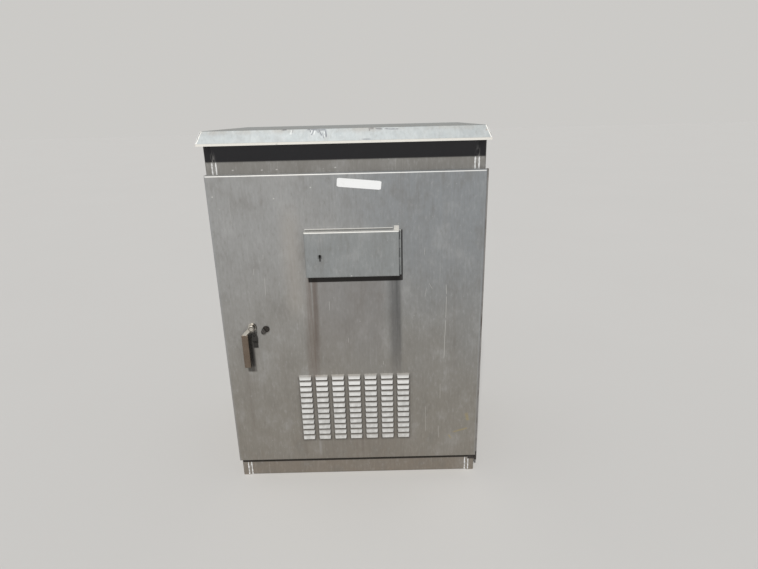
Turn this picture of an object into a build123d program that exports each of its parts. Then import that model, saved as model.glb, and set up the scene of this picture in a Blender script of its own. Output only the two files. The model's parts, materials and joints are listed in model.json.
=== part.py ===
from build123d import *
import os
from math import asin, atan, cos, radians, sin, sqrt, tan

# Roadside control cabinet of folded sheet aluminium. Millimetres. The origin is the centre of the
# anchor bolt pattern on the underside of the base. +Z is up and the door faces -Y.

# Stock
SHEET = 3.2                     # body, door and roof
LIGHT_SHEET = 2.0               # inner trays and boxes
BEND = 3.0                      # inside radius of a fold in the main sheet
FIT = 0.2                       # gap at a seat between fixed pieces
RUN = 0.35                      # gap between pieces that slide past each other
SHAFT_FIT = 0.05                # radial gap of a shaft in its bore
EDGE_BREAK = 1.0                # small chamfers

# Body
BODY_WIDTH = 965.0
BODY_DEPTH = 660.0
RETURN = 30.5                   # front and rear returns of the side panels
BASE_FLANGE = 70.0              # side flanges that the anchor bolts hold
END_FLANGE = 40.0               # front and rear base flanges
ANCHOR_INSET = 41.2             # bolts inside the body's sides
ANCHOR_SETBACK = 95.05          # bolts inside its front and rear
ANCHOR_X = BODY_WIDTH - 2 * ANCHOR_INSET
ANCHOR_Y = BODY_DEPTH - 2 * ANCHOR_SETBACK
ANCHOR_HOLE = 22.0

# Roof hood
ROOF_TOP = 1390.5               # overall height
ROOF_RISE = 39.0                # lip's upper edge to the top
LIP_TOP = ROOF_TOP - ROOF_RISE
LIP_HEIGHT = 8.5
LIP_BOTTOM = LIP_TOP - LIP_HEIGHT
ROOF_FALL = 14.0                # from front to rear
FRONT_OVERHANG = 53.0
SIDE_OVERHANG = 7.0
SKIRT_RUN = 16.5                # how far the skirt slopes in
ROOF_EDGE = 3.0                 # rounding of the roof's outer edges

# Header
KNEE_DROP = 104.5               # roof's top to where the header starts to lean forward
HEADER_KNEE = ROOF_TOP - KNEE_DROP
HEADER_LEAN = 18.0              # degrees
VENT_COUNT = 22
VENT_WIDTH = 8.0
VENT_MARGIN = 56.0              # header's end to the row of vents
VENT_RISE = 3.0                 # above the lip's lower edge, hidden from in front
VENT_HEIGHT = 28.0
VENT_LOW = LIP_BOTTOM + VENT_RISE
VENT_HIGH = VENT_LOW + VENT_HEIGHT

# Door frame
FRAME_BOTTOM = 112.0
FRAME_DROP = 165.5              # roof's top to the frame's
FRAME_TOP = ROOF_TOP - FRAME_DROP
FRAME_LIP = 28.0
FRAME_REACH = 30.0              # behind the body's front face

# Main door
DOOR_OVERLAP = 20.0             # over the frame, above and below
DOOR_BOTTOM = FRAME_BOTTOM - DOOR_OVERLAP
DOOR_TOP = FRAME_TOP + DOOR_OVERLAP
DOOR_DEPTH = 32.0               # front face to the body's front face
DOOR_GAP = 1.5                  # door edge to the body's front face
DOOR_RETURN = 14.0
GASKET = 6.5
GASKET_WIDTH = 19.0

# Louvres
LOUVRE_COLUMNS = 7
LOUVRE_ROWS = 12
LOUVRE_PITCH_X = 63.0
LOUVRE_PITCH_Z = 24.2
LOUVRE_LOWEST = 195.0           # lower edge of the lowest row's hoods
LOUVRE_WIDTH = 50.0
LOUVRE_HEIGHT = 18.0
LOUVRE_RISE = 8.5
LOUVRE_TAPER = 4.0
LOUVRE_SHEET = 2.6              # the sheet is drawn thinner in the hood

# Continuous hinge
HINGE_BOTTOM = 55.0
HINGE_INSET = 2.0               # below the door's top
HINGE_TOP = DOOR_TOP - HINGE_INSET
HINGE_KNUCKLES = 13
KNUCKLE_R = 4.5
HINGE_PIN_R = 2.5
LEAF = 1.9
LEAF_WIDTH = 26.0
KNUCKLE_GAP = 0.5
HINGE_STANDOUT = 0.5            # knuckle to the body's side
BOLT_HEAD_R = 5.0
BOLT_HEAD = 2.2
HINGE_BOLTS = 10

# Handle, collar and padlock eye
HANDLE_INSET = 110.9            # shaft inside the door's left edge
HANDLE_X = HANDLE_INSET - BODY_WIDTH / 2
HANDLE_Z = 686.0
SHAFT_R = 8.0
HUB_R = 13.0
HUB_PROUD = 22.0
GRIP_WIDTH = 25.0
GRIP_THICK = 12.0
GRIP_PROUD = 29.0               # door face to the grip's front
GRIP_OFFSET = 25.0              # the grip's middle is left of the shaft
GRIP_DROP = 22.0                # shaft's middle down to the grip's upper end
GRIP_LENGTH = 133.0
GRIP_EDGE = 1.5
NECK_FLAT = 7.0                 # narrow front of the neck, between its slopes
NECK_SLOPE = 6.0
NECK_WIDTH = 19.0               # at the hub
NECK_CLEAR = 11.0               # door face to the neck's back at the hub
COLLAR_R = 16.0
COLLAR_TUBE_R = 11.5
COLLAR_FLANGE = 6.0
EYE_X = HANDLE_X + 6.4
EYE_Z = HANDLE_Z - 29.0
EYE_R = 8.5
EYE_HOLE_R = 4.5
EYE_SHEET = 3.0
EYE_STANDOUT = 12.0
EYE_FOOT_Z = EYE_Z - 29.0

# Latch
CAM_SHEET = 5.0
CAM_PIN_RADIUS = 27.0           # shaft to drive pin
CAM_PIN_R = 3.5
CAM_ARM_R = 7.5
CAM_HUB_R = 14.0
CAM_NOSE_R = 9.0
CAM_NOSE_OVERLAP = 16.0         # how far the nose reaches behind the frame's lip
HANDLE_TURN = 90.0
YOKE_SHEET = 4.0
YOKE_RIM = 4.0
YOKE_SLACK = 0.25
ROD_THICK = 6.35
ROD_DEEP = 19.05
ROLLER_R = 9.5
ROLLER_WIDTH = 10.0
AXLE_R = 3.0
AXLE_HEAD = 1.6
GUIDE_WALL = 7.0
GUIDE_HEIGHT = 25.0
UPPER_GUIDE_DROP = 105.0        # below the frame's top
LOWER_GUIDE_RISE = 93.0         # above its bottom
UPPER_GUIDE_Z = FRAME_TOP - UPPER_GUIDE_DROP
LOWER_GUIDE_Z = FRAME_BOTTOM + LOWER_GUIDE_RISE

# Key lock
LOCK_X = HANDLE_X + 50.6
LOCK_Z = HANDLE_Z - 9.0
LOCK_R = 12.5
LOCK_PROUD = 4.0
PLUG_R = 6.0
KEY_SLOT_W = 1.6
KEY_SLOT_H = 7.0
CRANK_SHEET = 1.0
CASE_WIDTH = 32.0
CASE_HEIGHT = 36.0
CASE_WALL = 3.0
BOLT_HEIGHT = 8.0
BOLT_THICK = 4.4
BOLT_THROW = 10.0
BOLT_TAIL_WALL = 2.5
KEY_TURN = 90.0
DRIVE_PIN_R = 1.75
COVER_SHEET = 1.2
COVER_R = 9.0
COVER_DROP = 10.5               # pivot to the middle of the lobe
COVER_TURN = 90.0
RIVET_R = 2.0
RIVET_X = LOCK_X - COVER_DROP   # so the cover lies over the key plug after its turn
RIVET_Z = LOCK_Z

# Police door and its compartment
POLICE_LEFT = -154.5
POLICE_RIGHT = 178.5
POLICE_DROP = 200.0             # below the main door's top
POLICE_HEIGHT = 165.0
POLICE_TOP = DOOR_TOP - POLICE_DROP
POLICE_BOTTOM = POLICE_TOP - POLICE_HEIGHT
POLICE_PROUD = 24.0
POLICE_BACK_GAP = 2.3           # back edge of the pan to the main door's face
POLICE_BEND = 1.5
BOX_INSET = 20.0                # compartment walls inside the police door's edges
BOX_PROUD = 16.0                # collar in front of the main door's face
BOX_REAR = 72.0                 # behind the main door's face
BOX_FLANGE = 15.0
POLICE_GASKET_WIDTH = 10.0
POLICE_KNUCKLES = 5
POLICE_KNUCKLE_R = 3.0
POLICE_PIN_R = 1.5
POLICE_LEAF = 1.5
POLICE_LEAF_COVER = 17.0        # leaf behind the police door
POLICE_LEAF_LEFT = POLICE_RIGHT - POLICE_LEAF_COVER
POLICE_LEAF_OVER = 15.0         # leaf above the police door
POLICE_LEAF_UNDER = 6.0
POLICE_LOCK_INSET = 53.0        # from the police door's left edge
POLICE_LOCK_RISE = 77.0         # above its lower edge
POLICE_LOCK_X = POLICE_LEFT + POLICE_LOCK_INSET
POLICE_LOCK_Z = POLICE_BOTTOM + POLICE_LOCK_RISE
POLICE_BARREL_R = 9.0
POLICE_STUD_R = 3.5
KEYHOLE_TOP_R = 4.0
KEYHOLE_FOOT_R = 1.8
KEYHOLE_DROP = 9.0
POLICE_CAM = 2.5
POLICE_CAM_TIP_R = 7.0
POLICE_CAM_BACK = 12.0          # behind the collar's front edge
POLICE_CAM_CATCH = 5.0          # how far the cam passes through the collar's wall
POLICE_CAM_SWEEP = 25.0         # how far down the cam moves before it leaves the wall
POLICE_CAM_ROOM = 2.0
DRIP_GAP = 6.0                  # above the police door
DRIP_BOTTOM = POLICE_TOP + DRIP_GAP
DRIP_HEIGHT = 3.0
DRIP_DEPTH = 4.0
DRIP_LEFT_INSET = 2.5           # inside the police door's left edge
DRIP_RIGHT_INSET = 21.5
DRIP_LEFT = POLICE_LEFT + DRIP_LEFT_INSET
DRIP_RIGHT = POLICE_RIGHT - DRIP_RIGHT_INSET

# Switches
PANEL_DEPTH = 45.0              # switch panel behind the main door's face
TOGGLE_X = (-45.0, 45.0)
TOGGLE_RISE = 85.0              # above the police door's lower edge
TOGGLE_Z = POLICE_BOTTOM + TOGGLE_RISE
BUSHING_R = 6.0
BUSHING_LENGTH = 9.0
BUSHING_BORE_R = 3.7
SWITCH_NUT_R = 8.0
SWITCH_NUT = 2.5
LEVER_SETBACK = 4.8             # pivot behind the bushing's front
TOGGLE_BODY = (26.0, 13.0, 22.0)
LEVER_R = 1.6
LEVER_TIP_R = 2.6
LEVER_BALL_R = 3.3
LEVER_LENGTH = 19.0
LEVER_TILT = 12.0               # degrees, down at rest

# Filter
FILTER_WIDTH = 508.0
FILTER_HEIGHT = 330.0
FILTER_DEPTH = 24.0
FILTER_BOTTOM = 165.0
TROUGH_SHEET = 1.6
TROUGH_LIP = 14.0
PLEATS = 21
PLEAT_PAPER = 1.5
CARD = 5.0

# Fan and its deck
DECK_DROP = 122.5               # roof's top to the deck's upper face
DECK_Z = ROOF_TOP - DECK_DROP
DECK_FLANGE = 22.0
FAN_Y = 40.0
FAN_R = 86.0
FAN_DEPTH = 50.0
FAN_WALL = 4.0
FAN_TIP_GAP = 2.5
FAN_END_GAP = 2.0
FAN_HUB_ROUND = 3.0
FAN_FLANGE = 10.0
FAN_HUB_R = 34.0
FAN_SHAFT_R = 4.0
FAN_BLADES = 5
BLADE = 2.0
BLADE_ROOT_TILT = 48.0
BLADE_TIP_TILT = 30.0
BLADE_CHORD = 40.0
BLADE_ROOT_CHORD = 32.0
SPOKES = 4
SPOKE = 6.0
GUARD_SHEET = 2.0
GUARD_WIRE_WIDTH = 3.5
GUARD_RINGS = 4
GUARD_PITCH = 16.0
CONTROL_X = 170.0
CONTROL_BOX = (70.0, 50.0, 32.0)
CONTROL_ROUND = 3.0
CONTROL_DIAL_R = 14.0
CONTROL_DIAL = 8.0

# Rails, shelves and back board
RAIL = 41.3
RAIL_DEPTH = 20.6
RAIL_SHEET = 2.5
RAIL_LIP = 7.0
RAIL_MOUTH = 22.0
RAIL_BEND = 1.2
RAIL_BOTTOM = 60.0
RAIL_GAP = 11.0                 # below the deck's edge
RAIL_TOP = DECK_Z - DECK_FLANGE - RAIL_GAP
RAIL_Y = (30.0, BODY_DEPTH / 2 - 80.0)
SHELF_Z = (455.0, 800.0)
SHELF_FRONT = 0.0
SHELF_REAR = BODY_DEPTH / 2 - 50.0
SHELF_FLANGE = 28.0
SHELF_BEND = 1.5
SHELF_SLOTS = 9
SHELF_SLOT_LENGTH = 71.0
SHELF_SLOT_WIDTH = 8.0
SHELF_SLOT_INSET = 70.0
SHELF_BOLT_R = 4.0
SHELF_BOLT_HEAD_R = 7.5
SHELF_BOLT_HEAD = 5.0
CHANNEL_NUT = (6.0, 30.0, 19.0)
BOARD_Y = BODY_DEPTH / 2 - 30.0
BOARD_MARGIN = 82.5             # body's sides to the board's
BOARD_WIDTH = BODY_WIDTH - 2 * BOARD_MARGIN
BOARD_BOTTOM = 190.0
BOARD_DROP = 75.0               # below the frame's top
BOARD_TOP = FRAME_TOP - BOARD_DROP
BUS_INSET = 150.0               # board's left edge to the bar's middle
BUS_X = BUS_INSET - BOARD_WIDTH / 2
BUS_Z = 260.0
BUS_LENGTH = 280.0
BUS_HEIGHT = 20.0
BUS_THICK = 6.0
BUS_STANDOFF = 14.0
BUS_JOGGLE = 24.0
BUS_FOOT = 16.0
BUS_END = 10.0                  # bar's end to its row of holes
BUS_HOLES = 8
BUS_HOLE_R = 3.0

# Door stay
STAY_RADIUS = 150.0             # hinge axis to each of the stay's pivots
STAY_DROP = 49.0                # below the frame's top
STAY_Z = FRAME_TOP - STAY_DROP
STAY_ROD_R = 4.0
STAY_PIN_R = 4.0
STAY_EYE_R = 9.0
STAY_GUIDE = 20.0
STAY_GUIDE_FLOOR = 6.0          # below the rod
STAY_GUIDE_HEAD = 20.0          # above the rod
STAY_KNOB = 8.0
STAY_SHOULDER = 3.0             # wider than its pin
STAY_PLATE = 4.0
STAY_FOOT = 22.0
STAY_ROUND = 4.0
STAY_DOOR_SETBACK = 22.0        # door pivot behind the door's face
STAY_FRAME_SETBACK = 22.0       # frame pivot behind the body's face
DOOR_SWING = 120.0

# Faces and lines that the sizes give
HALF_W = BODY_WIDTH / 2
FRONT = -BODY_DEPTH / 2                         # body's front face
REAR = BODY_DEPTH / 2
DOOR_FACE = FRONT - DOOR_DEPTH
DOOR_SKIN = DOOR_FACE + SHEET                   # back of the door's skin
BETWEEN = HALF_W - RETURN                       # half width between the returns
LIP_FRONT = DOOR_SKIN + GASKET + RUN            # front of the frame's lip
LIP_BACK = LIP_FRONT + SHEET
FRAME_BACK = FRONT + FRAME_REACH
SKIRT_SLOPE = SKIRT_RUN / (ROOF_TOP - LIP_TOP)
SKIRT_THICK = SHEET * sqrt(1 + SKIRT_SLOPE ** 2)
BODY_TOP = LIP_TOP + (SIDE_OVERHANG - SKIRT_THICK - FIT) / SKIRT_SLOPE
ROOF_FRONT_LINE = FRONT - FRONT_OVERHANG + SKIRT_RUN
ROOF_REAR_LINE = REAR + SIDE_OVERHANG
ROOF_SLOPE = ROOF_FALL / (ROOF_REAR_LINE - ROOF_FRONT_LINE)
ROOF_UNDER_FRONT = ROOF_TOP - SHEET - ROOF_SLOPE * (FRONT - ROOF_FRONT_LINE)
HINGE_X = HALF_W + HINGE_STANDOUT + KNUCKLE_R
HINGE_Y = FRONT - KNUCKLE_R
HINGE_DOOR_LEAF = HINGE_Y - KNUCKLE_R           # front of the door's leaf
CAM_FRONT = LIP_BACK + RUN
CAM_BACK = CAM_FRONT + CAM_SHEET
YOKE_FRONT = CAM_BACK + RUN
YOKE_BACK = YOKE_FRONT + YOKE_SHEET
ROD_Y = LIP_BACK + RUN + ROLLER_R               # middle of rods and rollers
CAM_STEP = CAM_PIN_RADIUS * sin(radians(HANDLE_TURN / 2))
ROD_STROKE = 2 * CAM_STEP
YOKE_SHIFT = CAM_PIN_RADIUS * (1 + cos(radians(HANDLE_TURN / 2))) / 2
YOKE_SWAY = CAM_PIN_RADIUS - CAM_PIN_RADIUS * cos(radians(HANDLE_TURN / 2))
RAIL_FACE = HALF_W - SHEET - RAIL_DEPTH         # inner face of the rails
DECK_UNDER = DECK_Z - LIGHT_SHEET


def block(x, y, z):
    """A box from its low and high values along each axis."""
    size = Box(x[1] - x[0], y[1] - y[0], z[1] - z[0])
    return Pos((x[0] + x[1]) / 2, (y[0] + y[1]) / 2, (z[0] + z[1]) / 2) * size


def ring(half_width, z, y, band):
    """A rectangular picture frame that lies in the door's plane."""
    outer = block((-half_width, half_width), y, z)
    hole = block((band - half_width, half_width - band), (y[0] - 1, y[1] + 1), (z[0] + band, z[1] - band))
    return outer - hole


def round_x(x, y, z, radius):
    """A cylinder along X, from x[0] to x[1]."""
    return Pos((x[0] + x[1]) / 2, y, z) * Rot(0, 90, 0) * Cylinder(radius, x[1] - x[0])


def round_y(x, y, z, radius):
    """A cylinder along Y, from y[0] to y[1]."""
    return Pos(x, (y[0] + y[1]) / 2, z) * Rot(90, 0, 0) * Cylinder(radius, y[1] - y[0])


def round_z(x, y, z, radius):
    """A cylinder along Z, from z[0] to z[1]."""
    return Pos(x, y, (z[0] + z[1]) / 2) * Cylinder(radius, z[1] - z[0])


def folded(points, thickness, inside_radius):
    """The section of a folded sheet, from the middle line that its points give."""
    return trace(FilletPolyline(*points, radius=inside_radius + thickness / 2), thickness)


def plate(outline, y):
    """A flat plate in the door's plane, from an outline in X and Z and its front and back faces."""
    placed = Plane((0, y[1], 0), x_dir=(1, 0, 0), z_dir=(0, -1, 0)) * outline
    return extrude(placed, amount=y[1] - y[0])


def arm(length, angle, tip_radius, hub_radius):
    """A tapered lever outline from the origin to a round tip."""
    tip = Pos(length * cos(radians(angle)), length * sin(radians(angle))) * Circle(tip_radius)
    return make_hull((Circle(hub_radius) + tip).edges())


# Body

def side_panel(side):
    """Side wall with its front and rear returns and its drilled base flange; side is -1 or 1."""
    middle = SHEET / 2
    corners = [
        (side * BETWEEN, FRONT + middle),
        (side * (HALF_W - middle), FRONT + middle),
        (side * (HALF_W - middle), REAR - middle),
        (side * BETWEEN, REAR - middle),
    ]
    wall = extrude(folded(corners, SHEET, BEND), amount=BODY_TOP)
    reach = sorted((side * (HALF_W - BASE_FLANGE), side * (HALF_W - SHEET / 2)))
    flange = block(reach, (FRONT + END_FLANGE, REAR - END_FLANGE), (0, SHEET))
    holes = [
        round_z(side * ANCHOR_X / 2, y, (-1, SHEET + 1), ANCHOR_HOLE / 2)
        for y in (-ANCHOR_Y / 2, ANCHOR_Y / 2)
    ]
    return wall + flange - holes


def across(section, half_width):
    """A sheet part of constant section in Y and Z, spanning X."""
    return extrude(Plane.YZ * section, amount=half_width, both=True)


def back_panel():
    middle = SHEET / 2
    section = folded(
        [(REAR - END_FLANGE, middle), (REAR - middle, middle), (REAR - middle, BODY_TOP)], SHEET, BEND
    )
    return across(section, BETWEEN)


def sill_panel():
    middle = SHEET / 2
    section = folded(
        [(FRONT + END_FLANGE, middle), (FRONT + middle, middle), (FRONT + middle, FRAME_BOTTOM)], SHEET, BEND
    )
    return across(section, BETWEEN)


def header_panel():
    """Upright band over the door, then a vented face that leans out to the roof, with closed ends."""
    middle = SHEET / 2
    lean = tan(radians(HEADER_LEAN))
    top = ROOF_UNDER_FRONT - FIT - middle * sin(radians(HEADER_LEAN))
    face = FRONT + middle
    section = folded(
        [(face, FRAME_TOP), (face, HEADER_KNEE), (face - lean * (top - HEADER_KNEE), top)], SHEET, BEND
    )
    panel = across(section, BETWEEN)
    cheek_section = make_face(Polyline(
        (FRONT + SHEET, HEADER_KNEE), (face, HEADER_KNEE), (face - lean * (top - HEADER_KNEE), top),
        (FRONT + SHEET, top), close=True,
    ))
    cheek = extrude(Plane.YZ * cheek_section, amount=SHEET)
    cheeks = [Pos(BETWEEN - SHEET, 0, 0) * cheek, Pos(-BETWEEN, 0, 0) * cheek]
    pitch = 2 * (BETWEEN - VENT_MARGIN) / VENT_COUNT
    first = -pitch * (VENT_COUNT - 1) / 2
    vents = [
        block(
            (first + i * pitch - VENT_WIDTH / 2, first + i * pitch + VENT_WIDTH / 2),
            (FRONT - FRONT_OVERHANG, FRONT + SHEET), (VENT_LOW, VENT_HIGH),
        )
        for i in range(VENT_COUNT)
    ]
    return panel + cheeks - vents


def roof_form(inset):
    """The hood's outer form, or the same form one sheet further in."""
    level = inset * (SKIRT_THICK / SHEET)
    width = BODY_WIDTH + 2 * SIDE_OVERHANG - 2 * level
    depth = BODY_DEPTH + FRONT_OVERHANG + SIDE_OVERHANG - 2 * level
    middle = (SIDE_OVERHANG - FRONT_OVERHANG) / 2
    bottom = LIP_BOTTOM - inset
    lip = Pos(0, middle, (bottom + LIP_TOP) / 2) * Box(width, depth, LIP_TOP - bottom)
    skirt = loft([
        Pos(0, middle, LIP_TOP) * Rectangle(width, depth),
        Pos(0, middle, ROOF_TOP) * Rectangle(width - 2 * SKIRT_RUN, depth - 2 * SKIRT_RUN),
    ])
    far = BODY_DEPTH
    under = make_face(Polyline(
        (-far, 0), (far, 0),
        (far, ROOF_TOP - inset - ROOF_SLOPE * (far - ROOF_FRONT_LINE)),
        (-far, ROOF_TOP - inset + ROOF_SLOPE * (far + ROOF_FRONT_LINE)),
        close=True,
    ))
    return (lip + skirt) & extrude(Plane.YZ * under, amount=BODY_WIDTH, both=True)


def roof_hood():
    """Hipped lid with a low upright lip; the top falls to the rear."""
    outer = roof_form(0)
    crest = outer.edges().filter_by(lambda edge: edge.center().Z > LIP_TOP + LIP_HEIGHT)
    return fillet(crest, ROOF_EDGE) - roof_form(SHEET)


def door_frame():
    """Flanged ring round the door opening; the door's gasket meets its lip."""
    tube = ring(BETWEEN, (FRAME_BOTTOM, FRAME_TOP), (LIP_FRONT, FRAME_BACK), SHEET)
    lip = ring(BETWEEN, (FRAME_BOTTOM, FRAME_TOP), (LIP_FRONT, LIP_BACK), FRAME_LIP)
    body = tube + lip
    outside = body.edges().filter_by(
        lambda edge: abs(edge.center().Y - LIP_FRONT) < 0.01
        and (abs(abs(edge.center().X) - BETWEEN) < 0.01
             or abs(edge.center().Z - FRAME_TOP) < 0.01 or abs(edge.center().Z - FRAME_BOTTOM) < 0.01)
    )
    return fillet(outside, BEND)


# Main door

def louvre(rise, half_width, height, back):
    """A pressed hood in the sheet: a wedge with drawn-in ends, open below; back is its root plane."""
    wedge = make_face(Polyline(
        (back, height), (back, 0), (DOOR_FACE - rise, 0), (DOOR_FACE, height), close=True
    ))
    taper = make_face(Polyline(
        (-half_width, back), (-half_width, DOOR_FACE), (LOUVRE_TAPER - half_width, DOOR_FACE - rise),
        (half_width - LOUVRE_TAPER, DOOR_FACE - rise), (half_width, DOOR_FACE), (half_width, back),
        close=True,
    ))
    return extrude(Plane.YZ * wedge, amount=half_width, both=True) & extrude(taper, amount=height)


def louvre_places():
    """Middle of each hood's lower edge."""
    first = -LOUVRE_PITCH_X * (LOUVRE_COLUMNS - 1) / 2
    return [
        Pos(first + column * LOUVRE_PITCH_X, 0, LOUVRE_LOWEST + row * LOUVRE_PITCH_Z)
        for column in range(LOUVRE_COLUMNS)
        for row in range(LOUVRE_ROWS)
    ]


def door_pan():
    """Front skin, four turned-back edges and their inward returns."""
    back = FRONT - DOOR_GAP
    outer = block((-HALF_W, HALF_W), (DOOR_FACE, back), (DOOR_BOTTOM, DOOR_TOP))
    outer = fillet(outer.faces().sort_by(Axis.Y)[0].edges(), BEND + SHEET)
    hollow = block(
        (SHEET - HALF_W, HALF_W - SHEET), (DOOR_SKIN, back - SHEET), (DOOR_BOTTOM + SHEET, DOOR_TOP - SHEET)
    )
    hollow = fillet(hollow.faces().sort_by(Axis.Y)[0].edges(), BEND)
    window = block(
        (DOOR_RETURN - HALF_W, HALF_W - DOOR_RETURN), (back - 2 * SHEET, back + 1),
        (DOOR_BOTTOM + DOOR_RETURN, DOOR_TOP - DOOR_RETURN),
    )
    hinge_side = HALF_W - LEAF_WIDTH - FIT
    edge = block((hinge_side, HALF_W + 1), (HINGE_DOOR_LEAF, back + 1), (DOOR_BOTTOM - 1, DOOR_TOP + 1))
    hinge_return = block(
        (hinge_side, HALF_W), (HINGE_DOOR_LEAF - SHEET, HINGE_DOOR_LEAF), (DOOR_BOTTOM, DOOR_TOP)
    )
    return outer - hollow - window - edge + hinge_return


def main_door():
    """The louvred door, with holes for the collar, the lock and the police compartment."""
    outer = louvre(LOUVRE_RISE, LOUVRE_WIDTH / 2, LOUVRE_HEIGHT, DOOR_SKIN)
    inner = louvre(
        LOUVRE_RISE - LOUVRE_SHEET, LOUVRE_WIDTH / 2 - LOUVRE_SHEET, LOUVRE_HEIGHT - LOUVRE_SHEET, DOOR_SKIN
    )
    places = louvre_places()
    door = door_pan() + [place * outer for place in places]
    door = door - [place * inner for place in places]
    reach = (DOOR_FACE - 1, DOOR_SKIN + 1)
    door -= round_y(HANDLE_X, reach, HANDLE_Z, COLLAR_TUBE_R + FIT)
    door -= round_y(LOCK_X, reach, LOCK_Z, LOCK_R + FIT)
    x, z = box_span(-FIT)
    return door - block(x, reach, z)


def door_gasket():
    z = (FRAME_BOTTOM + BEND, FRAME_TOP - BEND)
    return ring(BETWEEN - BEND, z, (DOOR_SKIN, DOOR_SKIN + GASKET), GASKET_WIDTH)


# Hinges

def knuckles(x, y, z, count, radius, bore, wanted):
    """Every second barrel of a hinge; wanted is 0 or 1."""
    step = (z[1] - z[0]) / count
    barrels = []
    for i in range(wanted, count, 2):
        low = z[0] + i * step + KNUCKLE_GAP / 2
        high = z[0] + (i + 1) * step - KNUCKLE_GAP / 2
        barrels.append(round_z(x, y, (low, high), radius) - round_z(x, y, (low - 1, high + 1), bore))
    return barrels


def leaf_strips(x, y, z, count, wanted):
    """The parts of a leaf that reach its own barrels."""
    step = (z[1] - z[0]) / count
    return [
        block(x, y, (z[0] + i * step + KNUCKLE_GAP / 2, z[0] + (i + 1) * step - KNUCKLE_GAP / 2))
        for i in range(wanted, count, 2)
    ]


def hinge_leaf(wanted, y, z):
    """A leaf and its barrels; leaf 0 is the frame's and leaf 1 the door's."""
    span = (HINGE_BOTTOM, HINGE_TOP)
    bore = HINGE_PIN_R + SHAFT_FIT
    flat = block((HALF_W - LEAF_WIDTH, HALF_W), y, z)
    strips = leaf_strips((HALF_W, HINGE_X), y, span, HINGE_KNUCKLES, wanted)
    barrels = knuckles(HINGE_X, HINGE_Y, span, HINGE_KNUCKLES, KNUCKLE_R, bore, wanted)
    return flat + strips + barrels


def hinge_frame_leaf():
    reach = (FRONT - LEAF - 1, FRONT + 1)
    holes = [round_y(x, reach, z, BOLT_HEAD_R / 2 + FIT) for x, z in hinge_bolt_places()]
    return hinge_leaf(0, (FRONT - LEAF, FRONT), (HINGE_BOTTOM, HINGE_TOP)) - holes


def hinge_door_leaf():
    low = DOOR_BOTTOM + SHEET
    return hinge_leaf(1, (HINGE_DOOR_LEAF, HINGE_DOOR_LEAF + LEAF), (low, min(HINGE_TOP, DOOR_TOP)))


def hinge_bolt_places():
    step = (HINGE_TOP - HINGE_BOTTOM) / HINGE_BOLTS
    x = HALF_W - LEAF_WIDTH / 2
    return [(x, HINGE_BOTTOM + (i + 0.5) * step) for i in range(HINGE_BOLTS)]


def hinge_frame_bolts():
    """Low round heads on the leaf, with shanks that stop at the body's sheet."""
    bolts = []
    for x, z in hinge_bolt_places():
        head = round_y(x, (FRONT - LEAF - BOLT_HEAD, FRONT - LEAF), z, BOLT_HEAD_R)
        shank = round_y(x, (FRONT - LEAF - BOLT_HEAD / 2, FRONT), z, BOLT_HEAD_R / 2)
        bolts.append(head + shank)
    return bolts


def hinge_pin():
    pin = round_z(HINGE_X, HINGE_Y, (HINGE_BOTTOM, HINGE_TOP), HINGE_PIN_R)
    caps = [
        round_z(HINGE_X, HINGE_Y, span, KNUCKLE_R)
        for span in ((HINGE_BOTTOM - 2, HINGE_BOTTOM), (HINGE_TOP, HINGE_TOP + 2))
    ]
    return pin + caps


# Handle and latch

def neck_section(width, back, front):
    """A bar's section with a narrow front flat between two slopes, proud of the door along its Y."""
    half = width / 2
    flat = NECK_FLAT / 2
    return make_face(Polyline(
        (-half, back), (half, back), (half, front - NECK_SLOPE), (flat, front), (-flat, front),
        (-half, front - NECK_SLOPE), close=True,
    ))


def door_handle():
    """Shaft, hub, sloping neck and flat hanging grip, forged in one."""
    grip_x = HANDLE_X - GRIP_OFFSET
    grip_top = HANDLE_Z - GRIP_DROP
    grip_y = (DOOR_FACE - GRIP_PROUD, DOOR_FACE - GRIP_PROUD + GRIP_THICK)
    grip = block(
        (grip_x - GRIP_WIDTH / 2, grip_x + GRIP_WIDTH / 2), grip_y, (grip_top - GRIP_LENGTH, grip_top)
    )
    grip = chamfer(grip.edges(), GRIP_EDGE)
    along = Vector(-GRIP_OFFSET, 0, -GRIP_DROP)
    at_hub = Plane((HANDLE_X, DOOR_FACE, HANDLE_Z), x_dir=(GRIP_DROP, 0, -GRIP_OFFSET), z_dir=along)
    at_grip = Plane((grip_x, DOOR_FACE, grip_top - GRIP_EDGE), x_dir=(1, 0, 0), z_dir=(0, 0, -1))
    neck = loft([
        at_hub * neck_section(NECK_WIDTH, NECK_CLEAR, HUB_PROUD - EDGE_BREAK),
        at_grip * neck_section(GRIP_WIDTH, GRIP_PROUD - GRIP_THICK, GRIP_PROUD),
    ], ruled=True)
    hub_y = (DOOR_FACE - HUB_PROUD, DOOR_FACE - COLLAR_FLANGE - RUN)
    hub = round_y(HANDLE_X, hub_y, HANDLE_Z, HUB_R)
    hub = chamfer(hub.faces().sort_by(Axis.Y)[0].edges(), 2 * EDGE_BREAK)
    shaft = round_y(HANDLE_X, (hub_y[1] - 1, YOKE_BACK), HANDLE_Z, SHAFT_R)
    return grip + neck + hub + shaft


def handle_collar():
    flange = round_y(HANDLE_X, (DOOR_FACE - COLLAR_FLANGE, DOOR_FACE), HANDLE_Z, COLLAR_R)
    flange = chamfer(flange.faces().sort_by(Axis.Y)[0].edges(), COLLAR_FLANGE / 4)
    tube = round_y(HANDLE_X, (DOOR_FACE - 1, CAM_FRONT - RUN), HANDLE_Z, COLLAR_TUBE_R)
    bore = round_y(HANDLE_X, (DOOR_FACE - 2 * COLLAR_FLANGE, CAM_BACK), HANDLE_Z, SHAFT_R + SHAFT_FIT)
    return flange + tube - bore


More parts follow.
